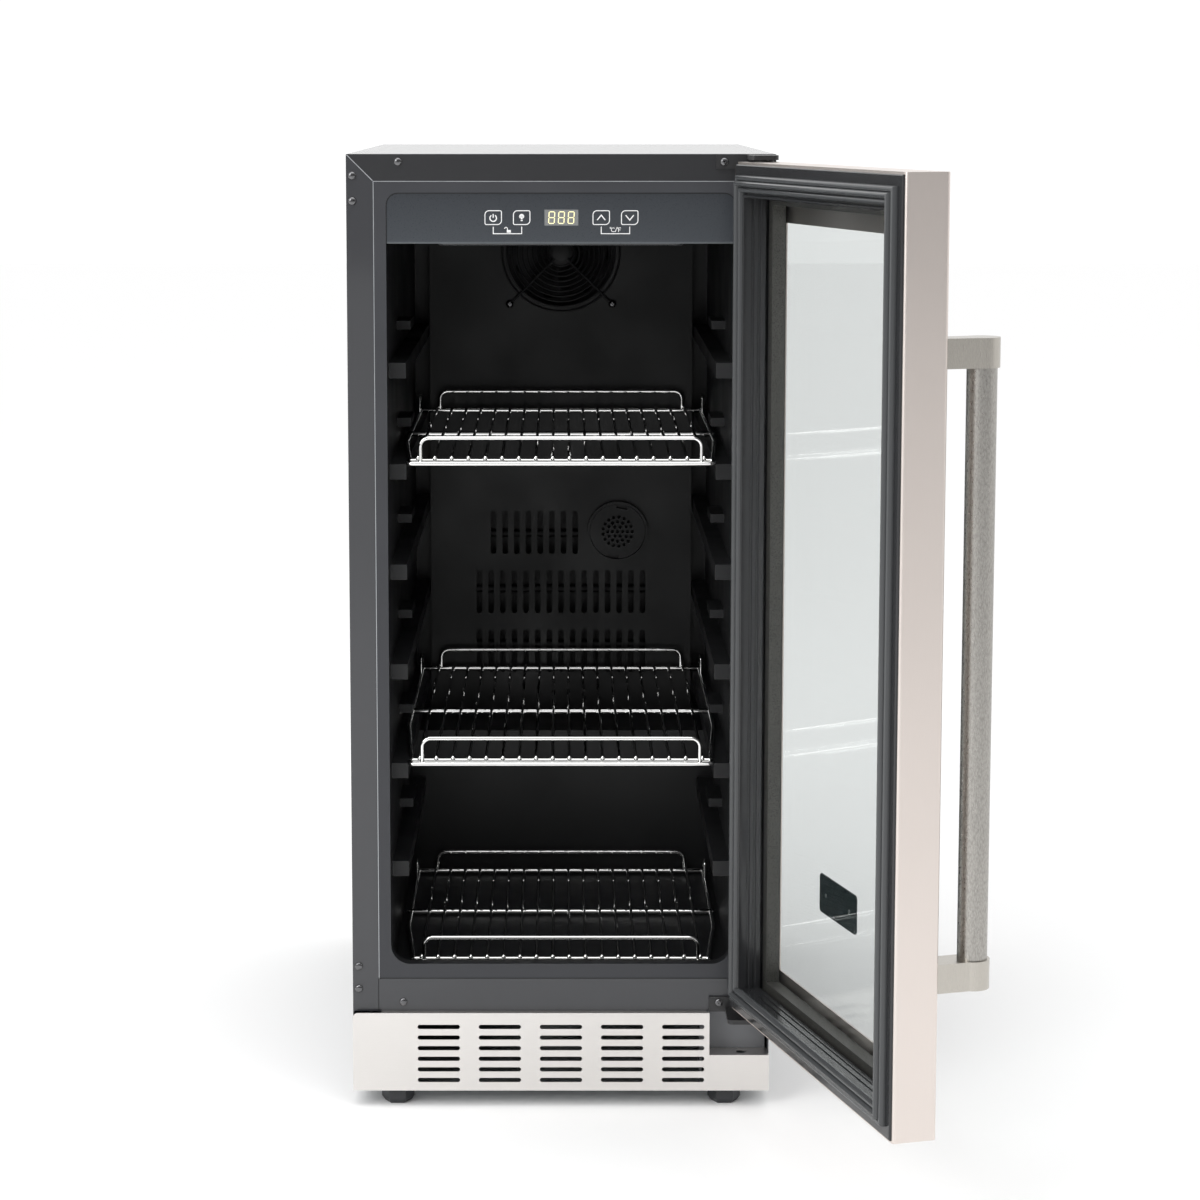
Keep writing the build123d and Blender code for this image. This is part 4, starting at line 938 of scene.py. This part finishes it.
def wire_shelf(low, high, middle, sides):
    """Every bar of one shelf, from the corners of its box; middle is the share of the depth
    at which the middle crossbar lies."""
    bar_r, side_r, wire_r, rail_r, ball_r = (v * MM for v in (2.5, 2.0, 1.5, 2.0, 2.3))
    y0, y2 = low.y + 6 * MM, high.y - 3 * MM
    y1 = y0 + (y2 - y0) * middle
    z = high.z - 24 * MM
    side_x, front_x, rail_x = high.x - 2 * MM, 140.5 * MM, 127 * MM
    hook_rise, hook_reach = 19 * MM, 14 * MM
    wire_count, wire_pitch = 18, 15.2 * MM
    up, across, ahead = (0, 0, 1), (1, 0, 0), (0, 1, 0)
    out = []
    for s in (-1, 1):
        x, taper = s * side_x, y0 + (y1 - y0) * 0.7
        path = [(s * (front_x - 4 * MM), y0 + 3 * MM, z), (x, taper, z), (x, y2, z)]
        out.append(tube(rounded(path, 30 * MM), side_r, up, sides=sides))
        hook_y = y2 - 24 * MM
        hook = [
            (x, hook_y, z),
            (x, hook_y, z + hook_rise),
            (x, hook_y - hook_reach, z + hook_rise),
            (x, hook_y - hook_reach, z),
        ]
        out.append(tube(rounded(hook, 4 * MM), wire_r, across, sides=sides))
    for y in (y1, y2):
        for s in (-1, 1):
            out.append(ball((s * high.x * 0.995, y, z), bar_r, sides))
        out.append(tube([(low.x, y, z), (0, y, z), (high.x, y, z)], bar_r, ahead, sides=sides))
    half, reach, rise = front_x - rail_r, 4 * MM, 1 * MM
    loop = [
        (0, y0 - reach, z - rise),
        (half, y0 - reach, z - rise),
        (half, y0 + reach, z + rise),
        (-half, y0 + reach, z + rise),
        (-half, y0 - reach, z - rise),
        (0, y0 - reach, z - rise),
    ]
    path = rounded(loop, 3.8 * MM)[:-1]
    out.append(tube(path, rail_r, (0, -rise, reach), closed=True, sides=sides))
    for y, h in ((y0, 22 * MM), (y2, 20 * MM)):
        rail = [(-rail_x, y, z), (-rail_x, y, z + h), (rail_x, y, z + h), (rail_x, y, z)]
        out.append(tube(rounded(rail, 8 * MM, 10), rail_r, ahead, sides=sides))
    wire_z = z + bar_r + wire_r - 0.3 * MM
    for i in range(wire_count):
        x = (i - (wire_count - 1) / 2) * wire_pitch
        path = [(x, y0, wire_z), (x, y1, wire_z), (x, y2 + 3 * MM, wire_z)]
        out.append(tube(path, wire_r, up, sides=10))
        out.append(ball((x, y0, wire_z), ball_r))
    return out


class COOLER_OT_duct(bpy.types.Operator):
    """Coat the rear duct and what it holds, and make its grille and the two fan wheels"""

    bl_idname = "cooler.duct"
    bl_label = "Rear duct"

    def execute(self, context):
        coat_nodes(
            {
                "duct_plastic": ["rear_duct_panel", "filter_cover"],
                "black_plastic": ["evaporator_fan_motor"],
                "coil": ["evaporator_coil"],
                "carbon": ["filter_cartridge"],
            }
        )
        low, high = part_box("fan_grille")
        cx, cz = (low.x + high.x) / 2, (low.z + high.z) / 2
        y = high.y - 1.2 * MM
        surfaces = []
        out, ahead = (0, 1, 0), (0, -1, 0)
        ear_at, strut_ends = 76.1 * MM, (9, 40, 73)
        ear = mm((4.2, 0), (4.2, 2), (3.6, 2.5))
        hub = mm((10, 0), (10, 1.8), (7.5, 2.6))
        a = np.linspace(0, 2 * np.pi, 72, endpoint=False)
        for r in np.arange(14, 62, 5.3) * MM:
            path = np.stack([cx + r * np.cos(a), np.full(a.shape, y), cz + r * np.sin(a)], -1)
            surfaces.append(tube(path, 1.15 * MM, out, closed=True, sides=8))
        for k in range(4):
            t = math.radians(45 + 90 * k)
            c, s = math.cos(t), math.sin(t)
            strut = [(cx + r * MM * c, y, cz + r * MM * s) for r in strut_ends]
            surfaces.append(tube(strut, 1.5 * MM, out, sides=8))
            surfaces.append(turned((cx + ear_at * c, high.y, cz + ear_at * s), ahead, ear, 24))
        surfaces.append(turned((cx, high.y, cz), ahead, hub, 32))
        finish = "duct_plastic"
        add_piece("fan_grille_rings", surfaces, "cabinet", finish, finish, ["fan_grille"])
        blades = context.scene.cooler_sizes.fan_blades
        for node, axis, count in (
            ("evaporator_fan_rotor", (0, -1, 0), blades),
            ("condenser_fan_rotor", (-1, 0, 0), 5),
        ):
            wheel, finish = fan_wheel(node, axis, count), "black_plastic"
            add_piece(node + "_wheel", wheel, node + "_body", finish, finish, [node])
        return {"FINISHED"}


def fan_wheel(node, axis, count):
    """Hub and scooped blades. A blade is a grid of span s and chord c: radius grows with
    s, its angle with c and a sweep that grows with s, its height with c times the pitch."""
    low, high = (np.array(v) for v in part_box(node))
    centre, size = (low + high) / 2, high - low
    depth = size[int(np.argmax(np.abs(axis)))]
    reach = min(sorted(size)[1:]) / 2 * 0.97
    hub_r, bore_r = 16.5 * MM, 2.2 * MM
    w = unit(axis)
    u = unit(np.cross(w, [0, 0, 1]))
    v = np.cross(w, u)
    profile = [
        (bore_r, -depth / 2),
        (hub_r, -depth / 2),
        (hub_r, depth * 0.36),
        (hub_r * 0.8, depth / 2),
        (bore_r, depth / 2),
    ]
    out = [turned(centre, axis, profile, 40)]
    s = np.linspace(0, 1, 12)[:, None]
    c = np.linspace(-1, 1, 10)[None, :]
    for k in range(count):
        r = hub_r * 0.95 + (reach - hub_r * 0.95) * s
        half_angle = np.pi / count * (0.80 + 0.06 * np.sin(np.pi * s))
        angle = 2 * np.pi * k / count + c * half_angle + 0.35 * s**2
        lift = -c * depth * 0.40 * (1 - 0.25 * s) + 0.06 * depth * c**2
        faces = []
        for thick in (-0.6 * MM, 0.6 * MM):
            spoke = np.cos(angle)[..., None] * u + np.sin(angle)[..., None] * v
            p = centre + r[..., None] * spoke
            faces.append(p + (lift + thick)[..., None] * w)
        shell = np.concatenate([faces[0], faces[1][:, ::-1]], 1)
        out.append(grid(shell, wrap_cols=True, caps=True))
    return out


class COOLER_OT_bay(bpy.types.Operator):
    """Coat what stands in the compressor bay"""

    bl_idname = "cooler.bay"
    bl_label = "Compressor bay"

    def execute(self, context):
        coat_nodes(
            {
                "enamel": ["compressor"],
                "black_plastic": ["relay_box", "drip_tray", "compressor_grommets"],
                "zinc": ["compressor_bolts"],
                "aluminium": ["condenser_fins"],
                "copper": ["condenser_tube", "refrigerant_pipes"],
                "galvanised": ["condenser_fan_shroud", "condenser_fan_motor"],
            }
        )
        return {"FINISHED"}


class COOLER_OT_door(bpy.types.Operator):
    """Coat the door's frame and panes, and press its ridged gasket and trim"""

    bl_idname = "cooler.door"
    bl_label = "Door"

    def execute(self, context):
        coat_nodes(
            {
                "stainless": ["door_frame"],
                "seal": ["door_core"],
                "glass": ["outer_glass", "inner_glass"],
                "spacer": ["glass_spacer"],
                "badge": ["badge_plate"],
                "black_plastic": ["hinge_bushes"],
                "zinc": ["handle_screws"],
            }
        )
        edge = 11 * MM
        x, z0, z1 = RIGHT - edge, DOOR_BOTTOM + edge, DOOR_TOP - edge
        ridges = [picture_frame(gasket_section(), -x, z0, x, z1, on_door)]
        add_piece("door_gasket_ridged", ridges, "door", "gasket", "gasket", ["door_gasket"], 28)
        trim, finish = door_liner_surfaces(), "door_plastic"
        add_piece("door_liner_pressed", trim, "door", finish, finish, ["door_liner"], 30)
        low, high = door_box("badge_plate")
        middle, seat = (low + high) / 2, low[1] - 0.1 * MM
        inward = on_door(0, 0, 0) - on_door(0, 1, 0)
        profile = mm((1.7, -0.3), (1.7, 0.25))
        dots = [
            turned(on_door(middle[0] + s * 27 * MM, seat, middle[2]), inward, profile, 20)
            for s in (-1, 1)
        ]
        add_piece("badge_pins", dots, "door", "badge", "badge_pin")
        return {"FINISHED"}


def gasket_section():
    """Section of the gasket, pairs (inset, d): a flat foot and three round lips that the
    magnet strip and bellows make, the outer one lowest."""
    foot = 8 * MM
    section = [(0, foot), (0, 6.2 * MM)]
    for centre, radius, crest in ((2.4, 2.2, 3.4), (7.2, 2.6, 0.4), (12.4, 2.2, 2.6)):
        t = np.linspace(math.pi, 0, 9)
        section += [
            ((centre + radius * math.cos(a)) * MM, (5.6 - (5.6 - crest) * math.sin(a) ** 0.8) * MM)
            for a in t
        ]
    section += [(15 * MM, 6.2 * MM), (15 * MM, foot)]
    return section


def door_liner_surfaces():
    """The liner's flange, with the rib that runs round its opening, and the stepped wall
    that goes in to the glass."""
    pane_low, pane_high = door_box("inner_glass")
    edge, lap = 2 * MM, 8 * MM
    x, z0, z1 = RIGHT - edge, DOOR_BOTTOM + edge, DOOR_TOP - edge
    reach = x - (pane_high[0] - lap)
    low, high = (pane_low[2] + lap - z0) / reach, (z1 - pane_high[2] + lap) / reach
    w = reach / MM
    flange = [(0, 10), (0, 8.9), (0.9, 8), (w - 3.4, 8), (w - 3.0, 6.0), (w - 2.2, 5.2)]
    flange += [(w - 1.0, 5.2), (w - 0.3, 6.0), (w, 8.5), (w, 10)]
    wall = [(0, 10), (8, 10), (8, 13.2), (7.2, 13.8), (7.2, 15.4), (8, 16), (8, 19.2)]
    wall += [(7.2, 19.8), (7.2, 21.4), (8, 22), (8, 26.3), (0, 26.3)]
    x1, low_z, high_z = pane_high[0], pane_low[2], pane_high[2]
    return [
        picture_frame(np.array(flange) * MM, -x, z0, x, z1, on_door, low, high),
        picture_frame(np.array(wall) * MM, -x1, low_z, x1, high_z, on_door),
    ]


def door_box(node):
    """Low and high corners (x, d, z) of a door node, measured with the door shut: its
    points turned back about the hinge by the same angle."""
    co = node_points(node)
    c, t = math.cos(DOOR_OPEN), math.sin(DOOR_OPEN)
    u, v = co[:, 0] - HINGE[0], co[:, 1] - HINGE[1]
    x, y = HINGE[0] + u * c + v * t, HINGE[1] - u * t + v * c
    shut = np.stack([x, FRONT - y, co[:, 2]], -1)
    return shut.min(0), shut.max(0)


class COOLER_OT_handle(bpy.types.Operator):
    """Finish the handle's etched bar and satin standoffs"""

    bl_idname = "cooler.handle"
    bl_label = "Handle"

    def execute(self, context):
        coat_nodes({"handle_steel": ["handle_bar"], "standoff_steel": ["handle_standoffs"]})
        return {"FINISHED"}


class COOLER_OT_stage(bpy.types.Operator):
    """Lay the pale floor, hang the soft lights and set the camera"""

    bl_idname = "cooler.stage"
    bl_label = "Stage"

    def execute(self, context):
        scene = context.scene
        floor = bpy.data.meshes.new("floor")
        size = 14.0
        corners = [(-size, -size, 0), (size, -size, 0), (size, size, 0), (-size, size, 0)]
        floor.from_pydata(corners, [], [(0, 1, 2, 3)])
        obj = bpy.data.objects.new("floor", floor)
        scene.collection.objects.link(obj)
        paper = Finish("paper", (0.965, 0.965, 0.965), 0.9, specular=0.1)
        floor.materials.append(paper.material)

        world = bpy.data.worlds.new("studio")
        scene.world = world
        world.use_nodes = True
        sky = Tree(world.node_tree)
        way = sky.node("ShaderNodeTexCoord", out=3)

        def toward(*direction):
            """How nearly a ray runs in a direction: the dot product of the two."""
            return sky.node(
                "ShaderNodeVectorMath", {"operation": "DOT_PRODUCT"}, {0: way, 1: direction}, out=1
            )

        # The room is white, with a soft grey patch ahead and to the right. Only mirror
        # chrome also sees a dark band straight ahead at eye level.
        shaded = sky.spread(toward(0.62, -0.78, 0.0), 0.0, 1.0, 0.70, 0.97)
        level = sky.spread(abs(toward(0, 0, 1.0)), 1.0, 0.0, 0.26, 0.44)
        band = level * sky.spread(toward(0, -1.0, 0), 0.0, 1.0, 0.35, 0.6)
        seen = sky.node("ShaderNodeLightPath", out=0)
        sharp = sky.node("ShaderNodeLightPath", out=5)
        room = sky.blend(shaded, (1, 1, 1), (0.38, 0.36, 0.345))
        room = sky.blend(band * sharp, room, (0.10, 0.10, 0.105))
        tone = sky.blend(seen, room, (1, 1, 1))
        background = world.node_tree.nodes["Background"]
        world.node_tree.links.new(tone.socket, background.inputs["Color"])
        background.inputs["Strength"].default_value = 1.08
        scene.view_settings.view_transform = "Standard"

        def soft_light(name, place, aim, width, height, power):
            lamp = bpy.data.lights.new(name, "AREA")
            lamp.shape, lamp.size, lamp.size_y, lamp.energy = "RECTANGLE", width, height, power
            holder = bpy.data.objects.new(name, lamp)
            scene.collection.objects.link(holder)
            holder.location = place
            away = Vector(aim) - Vector(place)
            holder.rotation_euler = away.to_track_quat("-Z", "Y").to_euler()

        soft_light("key", (-1.6, FRONT - 2.0, 1.7), (0, FRONT, 0.5), 1.2, 1.6, 30)
        soft_light("top", (0.0, FRONT - 0.7, 2.6), (0.1, FRONT - 0.2, 0.4), 1.8, 1.2, 16)

        # The lens is shifted so that eye level lies this far down a picture of this height.
        cam = bpy.data.cameras.new("camera")
        cam.lens, cam.sensor_width = 91.3, 36.0
        tilt, eye_height, distance = math.radians(7.2), 0.916, 2.70
        picture, eye_level = 1200.0, 98.0
        focal = cam.lens / cam.sensor_width * picture
        cam.shift_x = 0.0325
        cam.shift_y = -((picture / 2 - eye_level) - focal * math.tan(tilt)) / picture
        eye = bpy.data.objects.new("camera", cam)
        scene.collection.objects.link(eye)
        eye.location = (0.0, FRONT - distance, eye_height)
        eye.rotation_euler = (math.pi / 2 - tilt, 0, 0)
        scene.camera = eye
        return {"FINISHED"}


class COOLER_PT_sidebar(bpy.types.Panel):
    """Sizes, colours and a button for each operator"""

    bl_label = "Beverage Cooler"
    bl_idname = "COOLER_PT_sidebar"
    bl_space_type = "VIEW_3D"
    bl_region_type = "UI"
    bl_category = "Cooler"

    def draw(self, context):
        for group in (context.scene.cooler_sizes, context.scene.cooler_colours):
            for name in group.__annotations__:
                self.layout.prop(group, name)
        for operator in OPERATORS:
            self.layout.operator(operator.bl_idname)


OPERATORS = (
    COOLER_OT_cabinet,
    COOLER_OT_seams,
    COOLER_OT_screws,
    COOLER_OT_panel,
    COOLER_OT_shelves,
    COOLER_OT_duct,
    COOLER_OT_bay,
    COOLER_OT_door,
    COOLER_OT_handle,
    COOLER_OT_stage,
)
CLASSES = (CoolerSizes, CoolerColours, *OPERATORS, COOLER_PT_sidebar)


def register():
    for cls in CLASSES:
        bpy.utils.register_class(cls)
    bpy.types.Scene.cooler_sizes = PointerProperty(type=CoolerSizes)
    bpy.types.Scene.cooler_colours = PointerProperty(type=CoolerColours)


def unregister():
    del bpy.types.Scene.cooler_colours
    del bpy.types.Scene.cooler_sizes
    for cls in reversed(CLASSES):
        bpy.utils.unregister_class(cls)


def main():
    register()
    for operator in OPERATORS:
        getattr(bpy.ops.cooler, operator.bl_idname.split(".")[1])()


if __name__ == "__main__":
    main()
